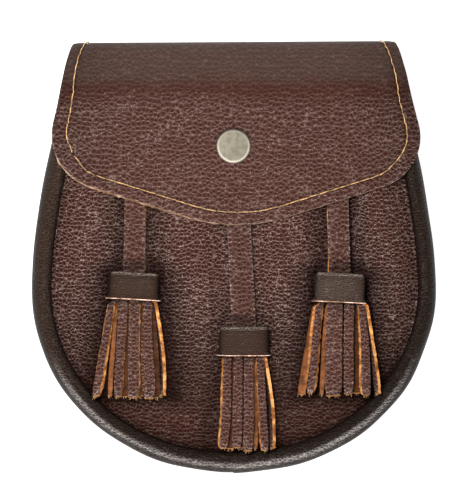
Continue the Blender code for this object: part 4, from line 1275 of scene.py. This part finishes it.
def flap_grid():
    """The flap's outer face, from its pointed edge over the fold to the lap on the back."""
    right, low = flap_front_borders()
    u = graded(165, 0.45, 1.0, 7)
    v = graded(48, 0.4, 0.75, 7, (True, False))
    right = resampled(right, v)
    high = resampled(((-FOLD_HALF, FOLD_Y), (FOLD_HALF, FOLD_Y)), u)
    plane = patch(right * (-1, 1), right, resampled(low, u), high, v, u)
    plane[..., 0] += FLAP_LEAN * (TOP_Y - plane[..., 1]) + right_fullness(plane[..., 0])
    rows = list(np.dstack([plane, flap_height(plane[..., 0], plane[..., 1])]))
    across = u * 2 - 1
    half = FOLD_HALF
    y, z = FOLD_Y, flap_height(0.0, FOLD_Y)
    lap_z = BACK_Z - GAP - FLAP_WALL
    turns = [(angle, True) for angle in np.linspace(0, math.pi / 2, 37)[1:]]
    turns += [(angle, False) for angle in np.linspace(math.pi / 2, 0, 25)[1:]]
    for angle, at_front in turns:
        fold_y = FOLD_Y if at_front else BACK_FOLD_Y
        new_y = fold_y + (TOP_Y - fold_y) * math.sin(angle)
        reach = flap_height(0.0, new_y) if at_front else lap_z
        new_z = FOLD_MIDDLE_Z + (reach - FOLD_MIDDLE_Z) * math.cos(angle)
        half -= FLAP_TAPER * math.hypot(new_y - y, new_z - z)
        y, z = new_y, new_z
        x = across * half + right_fullness(across * half)
        x += FLAP_LEAN * (TOP_Y - y) if at_front else 0.0
        face = flap_height(x, y) if at_front else lap_z
        rows.append(flap_row(x, y, FOLD_MIDDLE_Z + (face - FOLD_MIDDLE_Z) * math.cos(angle)))
    for lap_y in np.linspace(BACK_FOLD_Y, LAP_END_Y, 25)[1:]:
        rows.append(flap_row(across * (half - FLAP_TAPER * (BACK_FOLD_Y - lap_y)), lap_y, lap_z))
    return np.array(rows)


def inner_loop(grid, distance, count):
    """An anticlockwise line on a grid's face, distance inside its border and somewhat more at the
    sides, and how far each point of the grid lies from the border."""
    at = border_of(grid)
    edge = grid[at]
    inward = np.cross(grid_normals(grid)[at], np.roll(edge, -2, 0) - np.roll(edge, 2, 0))
    inward /= np.linalg.norm(inward, axis=1, keepdims=True)
    aside = rise(np.abs(edge[:, 0]), 62, 16) * rise(-edge[:, 1], -88, 24)
    aside = aside * (edge[:, 2] > FOLD_MIDDLE_Z) * np.where(edge[:, 0] < 0, 1.9 * MM, 1.4 * MM)
    line = edge + inward * (distance + aside)[:, None]
    line = line[nearest_distance(line[None], edge)[0] >= 0.985 * distance]
    return closed_loop(line, count), nearest_distance(grid, edge)


class SPORRAN_OT_flap(bpy.types.Operator):
    """Make the flap that wraps over the top, and its stitches"""

    bl_idname = "sporran.flap"
    bl_label = "Flap"

    def execute(self, context):
        stitch_inset = context.scene.sporran_stitches.inset
        grid = flap_grid()
        loop, away = inner_loop(grid, stitch_inset, 900)
        to_stitches = nearest_distance(grid, loop)
        x, y, z = np.moveaxis(grid, 2, 0)
        to_snap = from_snap(x, y)
        soft = hand_softness(x, y) + 0.06 * MM * ripple(x, y, 11, 13)
        soft = soft * smoothstep((to_snap - CAP_RADIUS) / (6 * MM)) * rise(z, 15, 8)
        channel = 0.32 * MM * peak(to_stitches, 0, 0.75)
        edge_roll = 0.25 * MM * peak(away, 0, 1.6)
        # Painted shade: round the snap, most above it, towards the sides, over the upper part and along the
        # stitches. Lighter along the cut edge, with stronger painted highlights there. Over the fold the
        # grain is smoothed and greyed: a painted sheen.
        above_snap = 0.6 + 0.4 * (y - SNAP_XY[1]) / np.maximum(to_snap, MM)
        snap_shade = 0.8 * peak(to_snap, CAP_RADIUS / MM, 1.1) * above_snap
        side_shade = 0.34 * rise(np.abs(x - 2 * MM), 42, 38)
        upper_shade = 0.13 * rise(y, 34, 42) * (1 - rise(y, 80, 10))
        thread_shade = 0.85 * peak(to_stitches, 0, 0.8)
        masks = {
            "painted_shade": 1 - (1 - snap_shade) * (1 - side_shade) * (1 - upper_shade) * (1 - thread_shade),
            "wear_and_painted_highlight": 0.4 * np.exp(-away / (0.35 * MM)),
            "smooth_and_sheen": rise(y, 60, 26),
        }
        sideways_lift = 0.006 * x * smoothstep((y - FOLD_Y) / (12 * MM))
        grid = grid + grid_normals(grid) * (soft - channel - edge_roll)[..., None]
        grid[..., 1] += sideways_lift
        edge_x, edge_y, edge_z = grid[border_of(grid)].T
        lower_left = rise(-edge_x, -10, 60) * rise(-edge_y, -76, 16)
        slant = (0.24 + 0.62 * lower_left) * MM * (0.3 + 0.7 * (edge_z > FOLD_MIDDLE_Z))
        ragged = 0.14 * MM * ripple(edge_x, edge_y, 1.3, 14) * (0.3 + lower_left)
        mesh = sheet_mesh("flap", grid, FLAP_WALL, slant, masks, ragged=ragged)
        look = {"depth": 0.2 * MM, "line": 0.29, "cut": (0.58, 0.39, 0.28), "shine": 0.03}
        finished("flap", mesh, brown_leather("flap_leather", **look))
        on_lap = [row for row in grid if row[0, 2] < FOLD_MIDDLE_Z and row[0, 1] > LAP_END_Y]
        second_y = LAP_END_Y + stitch_inset + 6 * MM
        row = min(on_lap, key=lambda row: abs(row[0, 1] - second_y))
        margin = np.searchsorted(np.abs(row[:, 0]) < 48 * MM, True) + 8
        sewn("flap_stitches", [(loop, True), (row[margin : len(row) - margin], False)], mesh, "flap")
        return {"FINISHED"}


def turned(name, profile):
    """A nickel solid of revolution about Z, over the snap, from (radius, height) points."""
    work = bmesh.new()
    verts = [work.verts.new((radius, 0.0, height)) for radius, height in profile]
    geom = verts + [work.edges.new(pair) for pair in zip(verts, verts[1:])]
    spin = {"cent": (0, 0, 0), "axis": (0, 0, 1), "angle": math.tau, "steps": TURN_STEPS}
    bmesh.ops.spin(work, geom=geom, **spin)
    bmesh.ops.remove_doubles(work, verts=work.verts, dist=0.005 * MM)
    bmesh.ops.translate(work, verts=work.verts, vec=(*SNAP_XY, 0.0))
    mesh = mesh_from(work, name, outward=True)
    mesh.shade_smooth()
    mesh.set_sharp_from_angle(angle=math.radians(50))
    x, y, _ = points_of(mesh).T
    # Painted highlight on the cap's rim, strongest at its lower side.
    rim = smoothstep((from_snap(x, y) / CAP_RADIUS - 0.84) / 0.1)
    write_attributes(mesh, {"wear_and_painted_highlight": rim * (0.45 - 0.4 * (y - SNAP_XY[1]) / CAP_RADIUS)})
    finished(name, mesh, shared_material("satin_nickel", nickel_material))


class SPORRAN_OT_snap(bpy.types.Operator):
    """Make the snap's cap with its socket, and the stud below them"""

    bl_idname = "sporran.snap"
    bl_label = "Snap"

    def execute(self, context):
        dome = float(envelope(*SNAP_XY))
        flap_under = dome - CAP_DIMPLE + FLAP_CLEARANCE
        socket = flap_under - GAP
        seat = flap_under + FLAP_WALL + GAP
        cap = [(0.0, seat + CAP_RISE)]
        for share in np.linspace(0.08, 0.87, 12):
            cap.append((CAP_RADIUS * share, seat + CAP_RISE - 0.32 * MM * share**2))
        for a in np.radians(np.linspace(82, -80, 15)):
            rim = CAP_RADIUS - CAP_SHOULDER * (1 - math.cos(a))
            cap.append((rim, seat + (0.95 + 0.9 * math.sin(a)) * MM))
        cap += [(1.6 * MM, seat), (1.6 * MM, socket), (5.4 * MM, socket)]
        below = ((5.4, 2.2), (2.3, 2.2), (2.3, 0.5), (0.0, 0.5))
        cap += [(radius * MM, socket - drop * MM) for radius, drop in below]
        turned("snap_cap", cap)
        base = dome - STUD_DIMPLE + GAP
        washer = dome - STUD_DIMPLE - FRONT_WALL - GAP
        head = ((0.0, 2.3), (1.4, 2.3), (1.75, 2.2), (1.9, 1.9), (1.8, 1.4), (1.5, 0.8))
        foot = ((5.2, 0.7), (5.4, 0.5), (5.4, 0.0), (1.4, 0.0))
        under = ((1.4, 0.0), (4.6, 0.0), (4.6, 0.7), (0.0, 0.7))
        stud = [(radius * MM, base + height * MM) for radius, height in head + foot]
        stud += [(radius * MM, washer - drop * MM) for radius, drop in under]
        turned("snap_stud", stud)
        return {"FINISHED"}


# ---------------------------------------------------------------- straps, collars and tassels


def collar_frame(hanger):
    """Turns points of a collar's own frame, x across, y up and z out from its middle, into place."""
    x, height = hanger.collar_x, hanger.collar_height
    y = hanger.collar_top_y - height / 2
    pitch = math.atan2(envelope(x, y + height / 2) - envelope(x, y - height / 2), height)
    share, along = np.meshgrid(np.linspace(-1, 1, 21), np.linspace(-height / 2, height / 2, 7))
    underside = COLLAR_HALF_DEPTH * (1 - np.abs(share) ** COLLAR_POWER) ** (1 / COLLAR_POWER)
    leather_z = front_height(x + share * COLLAR_HALF_WIDTH, y + along)
    z = (leather_z - along * math.sin(pitch) + underside).max() + COLLAR_SEAT
    lean = Matrix.Rotation(math.radians(-hanger.tilt), 4, "Z") @ Matrix.Rotation(pitch, 4, "X")
    return Matrix.Translation((x, y, z)) @ lean


def held_height(place, y, out):
    """Height of what the collar at a place holds, out from its middle, at y on the pouch."""
    return (place @ Vector((0.0, y - place.translation.y, out))).z


def ring(half_x, half_y, steps):
    """A rounded rectangular loop in the XY plane."""
    turn = np.linspace(0, math.tau, steps, endpoint=False)
    c, s = np.cos(turn), np.sin(turn)
    x = half_x * np.sign(c) * np.abs(c) ** (2 / COLLAR_POWER)
    y = half_y * np.sign(s) * np.abs(s) ** (2 / COLLAR_POWER)
    return closed_loop(np.stack([x, y, np.zeros(steps)], 1), steps)


class SPORRAN_OT_straps(bpy.types.Operator):
    """Make the straps that come out from under the flap and run into the collars"""

    bl_idname = "sporran.straps"
    bl_label = "Straps"

    def execute(self, context):
        for number, hanger in enumerate(HANGERS):
            self.make(hanger, number)
        return {"FINISHED"}

    def make(self, hanger, number):
        place = collar_frame(hanger)
        half = hanger.strap_width / 2
        collar_y = hanger.collar_top_y
        across = graded(hanger.strap_width / MM, 0.3, 0.8, 1) * 2 - 1
        rows = []
        end_y = collar_y - SLOT_BOTTOM + 0.6 * MM
        for y in np.arange(end_y, hanger.strap_top_y + 0.1 * MM, 0.7 * MM):
            middle_x = strap_line(hanger, y)
            x = middle_x + across * half
            bearing = (y - STRAP_BEARING, y, y + STRAP_BEARING)
            beside, along = np.meshgrid(middle_x + half * np.array((-1, 0, 1)), bearing)
            valley = front_height(beside, along).max() + STRAP_SEAT + STRAP_WALL
            held = held_height(place, y, 0.0) + STRAP_WALL / 2
            climb = smoothstep((collar_y + STRAP_RISE_RUN - y) / STRAP_RISE_RUN)
            crown = 0.45 * MM * (1 - across**2) * rise(y - collar_y, 0, 6) - 0.25 * MM * np.abs(across) ** 6
            soft = 0.10 * MM * ripple(x, np.full_like(x, y), 9, 41 + number)
            rows.append(flap_row(x, y, valley + (held - valley) * climb + crown + soft))
        grid = np.array(rows)
        at = border_of(grid)
        slant = np.where(at[1] < grid.shape[1] / 2, hanger.left_cut, hanger.right_cut)
        slant = slant * rise(grid[at][:, 1] - collar_y, 0, 2)
        edge = np.minimum(1 + across, 1 - across) * half
        # Painted shadow of the collar over the strap's lower end; lighter along the long edges, with stronger
        # painted highlights there.
        shadow = 0.75 * rise(collar_y - grid[..., 1], -6.2, 2)
        wear_and_painted_highlight = np.broadcast_to(0.3 * np.exp(-edge / (0.7 * MM)), shadow.shape)
        name = f"strap_{hanger.name}"
        mesh = sheet_mesh(name, grid, STRAP_WALL, slant, {"wear_and_painted_highlight": wear_and_painted_highlight, "painted_shade": shadow})
        finished(name, mesh, strap_leather())


class SPORRAN_OT_collars(bpy.types.Operator):
    """Make the smooth bands that hold the tassels"""

    bl_idname = "sporran.collars"
    bl_label = "Collars"

    def execute(self, context):
        look = {"pebble": (1.3 * MM, 1.0 * MM), "depth": 0.07 * MM, "rough": 0.5, "line": 0.02, "pits": 0.2}
        look |= {"color": (0.0245, 0.0106, 0.0054), "worn": (0.10, 0.064, 0.046), "cut": (0.75, 0.52, 0.43)}
        leather = dark_leather("collar_leather", shine=0.035, **look)
        for hanger in HANGERS:
            self.make(hanger, leather)
        return {"FINISHED"}

    def make(self, hanger, leather):
        name = f"collar_{hanger.name}"
        height = hanger.collar_height
        loop = ring(COLLAR_HALF_WIDTH - COLLAR_WALL / 2, COLLAR_HALF_DEPTH - COLLAR_WALL / 2, 120)
        line = new_mesh(name, loop, [(i, (i + 1) % len(loop)) for i in range(len(loop))])
        settings = {"Height": height, "Wall": COLLAR_WALL, "Leather": leather}
        work = bmesh.new()
        work.from_mesh(run_tree(name, line, "Swept Band", swept_band, settings))
        mesh = mesh_from(work, name, outward=True)
        x, _, z = points_of(mesh).T
        from_foot, from_top = height / 2 + z, height / 2 - z
        # Painted shade towards the ends, where the band turns away, and in a band below the lip; painted
        # highlight along the lip. The right collar is a little lighter all over.
        ends_shade = 0.7 * rise(np.abs(x), 8.6, 2.2)
        worn = 0.085 if hanger.name == "right" else 0.025
        values = {
            "raw": rise(-from_foot, -0.55, 0.3),
            "painted_shade": np.maximum(ends_shade, 0.45 * peak(from_top, 2.2, 0.9)),
            "wear_and_painted_highlight": worn + 0.6 * peak(from_top, 0.8, 0.4),
        }
        write_attributes(mesh, values)
        mesh.transform(collar_frame(hanger) @ Matrix.Rotation(-math.pi / 2, 4, "X"))
        finished(name, mesh, leather)


class SPORRAN_OT_tassels(bpy.types.Operator):
    """Make the fringes of leather strips and their frayed ends"""

    bl_idname = "sporran.tassels"
    bl_label = "Tassels"

    def execute(self, context):
        for number, hanger in enumerate(HANGERS):
            name = f"tassel_{hanger.name}"
            parts, ends = [self.head(hanger)], []
            for index, sizes in enumerate(STRIPS[hanger.name]):
                mesh, tip_points = self.strip(hanger, Strip(*sizes), 100 * number + index)
                parts.append(mesh)
                ends.append(tip_points)
            mesh = merged(name, parts)
            mesh.shade_smooth()
            finished(name, mesh, brown_leather("tassel_leather", fine=0.87, depth=0.2 * MM, line=0.31))
            self.fibres(f"{name}_fibres", np.concatenate(ends), name, number)
        return {"FINISHED"}

    def head(self, hanger):
        """The rolled end of the fringe inside its collar."""
        top = hanger.collar_height / 2 - HEAD_TOP
        half_x = COLLAR_HALF_WIDTH - COLLAR_WALL - GAP
        half_z = COLLAR_HALF_DEPTH - COLLAR_WALL - GAP
        chamfer = 0.6 * MM
        work = bmesh.new()
        loops = []
        for inward, y in ((chamfer, top), (0.0, top - 0.5 * MM), (0.0, top + HEAD_TOP - HEAD_BOTTOM)):
            loop = ring(half_x - inward, half_z - inward, 60)
            loops.append([work.verts.new((x, y, z)) for x, z, _ in loop])
        work.faces.new(loops[0])
        work.faces.new(loops[-1][::-1])
        for near, far in zip(loops, loops[1:]):
            for k in range(len(near)):
                after = (k + 1) % len(near)
                work.faces.new((near[k], far[k], far[after], near[after]))
        mesh = mesh_from(work, "head", outward=True)
        mesh.transform(collar_frame(hanger))
        count = len(mesh.vertices)
        write_attributes(mesh, {"raw": np.zeros(count), "flesh": np.ones(count)})
        return mesh

    def strip(self, hanger, strip, seed):
        """One strip of leather, from inside the collar to its frayed tip, and points for its fibres."""
        draw = np.random.default_rng(seed)
        place = collar_frame(hanger)
        collar_low = hanger.collar_top_y - hanger.collar_height
        start_y = collar_low + 4 * MM
        tip_y = hanger.tip_y + draw.uniform(-0.9, 0.9) * MM
        bend = draw.uniform(0, math.tau, 2)[0]
        shares = np.concatenate([np.linspace(0, 0.25, 22, endpoint=False), np.linspace(0.25, 1, 52)])
        across = np.linspace(-1, 1, STRIP_POINTS_ACROSS)
        on_edge = strip.row == 0
        room = 8.0 if on_edge else 7.9
        held_x = np.clip(strip.exit, -room, room) * (1.0 if on_edge else 0.93)
        crown = 0.3 * MM * (1 - across**2) - 0.1 * MM
        rows = []
        for share in shares[::-1]:
            y = start_y + (tip_y - start_y) * share
            below = max(collar_low - y, 0.0) / (collar_low - tip_y)
            bulge = rise(collar_low - y, -0.6, 2.6)
            free_x = strip.exit + (strip.tip - strip.exit) * below**0.9
            free_x += strip.bow * math.sin(math.pi * below)
            x = hanger.collar_x + (held_x + (free_x - held_x) * bulge) * MM
            wide = (strip.wide + (strip.wide_tip - strip.wide) * smoothstep(below / 0.8)) * MM
            wide *= 0.8 + 0.2 * bulge
            turn = math.radians(strip.turn + (strip.turn_tip - strip.turn) * smoothstep(below))
            turn *= 1.0 if on_edge else smoothstep(below / 0.3)
            half_depth = (wide * abs(math.sin(turn)) + STRIP_WALL * math.cos(turn)) / 2
            held = held_height(place, y, strip.row * STRIP_ROW_LIFT)
            lift = 2 * STRIP_ROW_LIFT if strip.row == 1 else 0.0
            lying = envelope(x, y) + GAP + half_depth + lift
            z = held + (lying - held) * smoothstep((below - 0.02) / 0.35)
            x += 0.18 * MM * math.sin(7 * below + bend) * below
            wide_way = np.array((math.cos(turn), 0.0, math.sin(turn)))
            deep_way = np.array((-math.sin(turn), 0.0, math.cos(turn)))
            thin = 1 - 0.25 * max(0.0, (share - 0.93) / 0.07)
            row = np.array((x, y, z)) + across[:, None] * wide_way * wide / 2 * thin
            row = row + (STRIP_WALL / 2 + crown)[:, None] * deep_way
            if share > 0.985:
                row[:, 1] += 0.09 * MM * ripple(across * 3 * MM, across * 0 + seed, 1.8, seed)
            rows.append(row)
        grid = np.array(rows)
        at = border_of(grid)
        edge_x, edge_y, _ = grid[at].T
        cuts = {0: strip.cut_left, STRIP_POINTS_ACROSS - 1: strip.cut_right}
        slant = np.array([cuts.get(column, 0.2) for column in at[1]]) * 0.85 * MM
        slant = np.where(at[0] == 0, 0.65 * MM, slant) * rise(collar_low - edge_y, -0.5, 3)
        tips = rise(tip_y - edge_y, -3, 3)
        ragged = (0.17 - 0.08 * tips) * MM * ripple(edge_x * 2, edge_y, 1.3, seed + 1)
        far = (grid[..., 1] - tip_y) / (collar_low - tip_y)
        # Lighter at the tips and along the long edges, with stronger painted highlights there; painted shadow
        # just below the collar.
        wear_and_painted_highlight = 0.4 * np.exp(-np.abs(far) / 0.03) + 0.2 * np.exp(-(1 - np.abs(across)) / 0.12)
        shadow = 0.55 * smoothstep((far - 0.82) / 0.18)
        flesh = 0.85 * strip.flesh
        # Back-row strips get strong painted shade, darker on the left, reddened by a share of flesh colour;
        # strips on their edge get some painted shade.
        if strip.row < 0:
            shadow = np.maximum(shadow, 0.95 - 0.75 * strip.flesh + 0.3 * (0.5 - across / 2))
            flesh = max(flesh, 0.25)
        elif on_edge:
            shadow = np.maximum(shadow, 0.3 - 0.25 * strip.flesh)
        masks = {"wear_and_painted_highlight": np.clip(wear_and_painted_highlight, 0, 1), "painted_shade": shadow}
        mesh = sheet_mesh("strip", grid, STRIP_WALL, slant, masks, flesh, ragged)
        return mesh, [end + (0, 0, -STRIP_WALL * draw.uniform(0.1, 0.9)) for end in grid[0, 1:-1]]

    def fibres(self, name, points, slot, number):
        draw = np.random.default_rng(number)
        points = points + draw.normal(0, 0.2 * MM, points.shape)
        mesh = new_mesh(name, points, lie=np.tile((0.0, -1.0, 0.25), (len(points), 1)))
        settings = {"Seed": 3 + number, "Fibre": shared_material("leather_fluff", fluff_material)}
        finished(name, run_tree(name, mesh, "Loose Fibres", loose_fibres, settings), None, slot)


# ---------------------------------------------------------------- belt loops


class SPORRAN_OT_belt_loops(bpy.types.Operator):
    """Make the two loops on the back and their stitches"""

    bl_idname = "sporran.belt_loops"
    bl_label = "Belt loops"

    def execute(self, context):
        tab_z = BACK_Z - GAP - LOOP_WALL
        side = [(25.0 * MM, tab_z), (17.0 * MM, tab_z), (14.0 * MM, 0.0)]
        corners = side + [(-y, z) for y, z in side[::-1]]
        path = [corners[0]]
        for before, corner, after in zip(corners, corners[1:], corners[2:]):
            path += fillet(before, corner, after, 1.8 * MM, 8)
        path = resampled([*path, corners[-1]], np.linspace(0, 1, 110))
        across = np.linspace(-LOOP_WIDTH / 2, LOOP_WIDTH / 2, 31)
        half = LOOP_WIDTH / 2 - 2 * MM
        for name, x in (("belt_loop_left", -LOOP_X), ("belt_loop_right", LOOP_X)):
            grid = np.array([flap_row(x + across, LOOP_MIDDLE_Y + y, z) for y, z in path])
            mesh = sheet_mesh(name, grid, LOOP_WALL, 0.05 * MM)
            finished(name, mesh, strap_leather())
            boxes = []
            for end in (1, -1):
                near, far = (LOOP_MIDDLE_Y + end * reach * MM for reach in (18.6, 23.2))
                box = ((x - half, near), (x + half, near), (x + half, far), (x - half, far))
                boxes.append((closed_loop([(*corner, tab_z) for corner in box], 119), True))
            sewn(f"{name}_stitches", boxes, mesh, name)
        return {"FINISHED"}


# ---------------------------------------------------------------- stage


class SPORRAN_OT_stage(bpy.types.Operator):
    """Set the floor, the light and the camera"""

    bl_idname = "sporran.stage"
    bl_label = "Stage"

    def execute(self, context):
        scene = context.scene
        stage = scene.sporran_stage
        half = 1.5
        corners = [(-half, -half, 0), (half, -half, 0), (half, half, 0), (-half, half, 0)]
        floor = new_object("floor", new_mesh("floor", corners, (), [(0, 1, 2, 3)]))
        paper, tree, shader, _ = new_material("pale_floor")
        sockets = {"Base Color": (0.62, 0.62, 0.62, 1), "Roughness": 0.9, "Specular IOR Level": 0.1}
        tree.feed(shader, {**sockets, "Emission Color": (1, 1, 1, 1), "Emission Strength": 1.0})
        floor.data.materials.append(paper)
        self.lamp("front_light", (-0.075, 0.07, 0.52), 0.18, stage.front_power, (1.0, 0.99, 0.97))
        self.lamp("low_light", (-0.06, -0.55, 0.24), 0.30, stage.low_power, (1.0, 0.99, 0.98))
        self.lamp("room_light", (-0.1, 0.1, 1.3), 0.8, stage.room_power, (1.0, 0.99, 0.97))
        world = scene.world or bpy.data.worlds.new("room")
        scene.world = world
        world.use_nodes = True
        sky = {"Color": (1, 1, 1, 1), "Strength": stage.room}
        Tree(world.node_tree).feed(world.node_tree.nodes["Background"], sky)
        data = bpy.data.cameras.new("camera")
        seen_height, front_z = 220.0 * MM, 22.0 * MM
        data.sensor_width = 36.0
        data.lens = data.sensor_width * stage.camera_distance / seen_height
        data.clip_end = 20.0
        camera = new_object("camera", data)
        camera.location = (0.44 * MM, 2.86 * MM, front_z + stage.camera_distance)
        scene.camera = camera
        scene.view_settings.view_transform = "Standard"
        return {"FINISHED"}

    def lamp(self, name, place, size, power, color):
        data = bpy.data.lights.new(name, "AREA")
        data.size = size
        data.energy = power
        data.color = color
        lamp = new_object(name, data)
        lamp.location = place
        lamp.rotation_euler = Vector(place).to_track_quat("Z", "Y").to_euler()


# ---------------------------------------------------------------- panel


OPERATORS = (
    SPORRAN_OT_stage,
    SPORRAN_OT_back_panel,
    SPORRAN_OT_gusset,
    SPORRAN_OT_front_panel,
    SPORRAN_OT_flap,
    SPORRAN_OT_snap,
    SPORRAN_OT_straps,
    SPORRAN_OT_collars,
    SPORRAN_OT_tassels,
    SPORRAN_OT_belt_loops,
)
GROUPS = (
    ("sporran_leather", SporranLeather),
    ("sporran_stitches", SporranStitches),
    ("sporran_stage", SporranStage),
)


class SPORRAN_PT_pieces(bpy.types.Panel):
    """Lists the pouch's pieces and sizes"""

    bl_idname = "SPORRAN_PT_pieces"
    bl_label = "Day Sporran"
    bl_space_type = "VIEW_3D"
    bl_region_type = "UI"
    bl_category = "Sporran"

    def draw(self, context):
        for name, group in GROUPS:
            box = self.layout.box()
            for key in group.__annotations__:
                box.prop(getattr(context.scene, name), key)
        for operator in OPERATORS:
            self.layout.operator(operator.bl_idname)


def register():
    for name, group in GROUPS:
        bpy.utils.register_class(group)
        setattr(bpy.types.Scene, name, PointerProperty(type=group))
    for cls in (*OPERATORS, SPORRAN_PT_pieces):
        bpy.utils.register_class(cls)


def unregister():
    for cls in (SPORRAN_PT_pieces, *reversed(OPERATORS)):
        bpy.utils.unregister_class(cls)
    for name, group in reversed(GROUPS):
        delattr(bpy.types.Scene, name)
        bpy.utils.unregister_class(group)


def main():
    register()
    for operator in OPERATORS:
        family, name = operator.bl_idname.split(".")
        getattr(getattr(bpy.ops, family), name)()


if __name__ == "__main__":
    main()
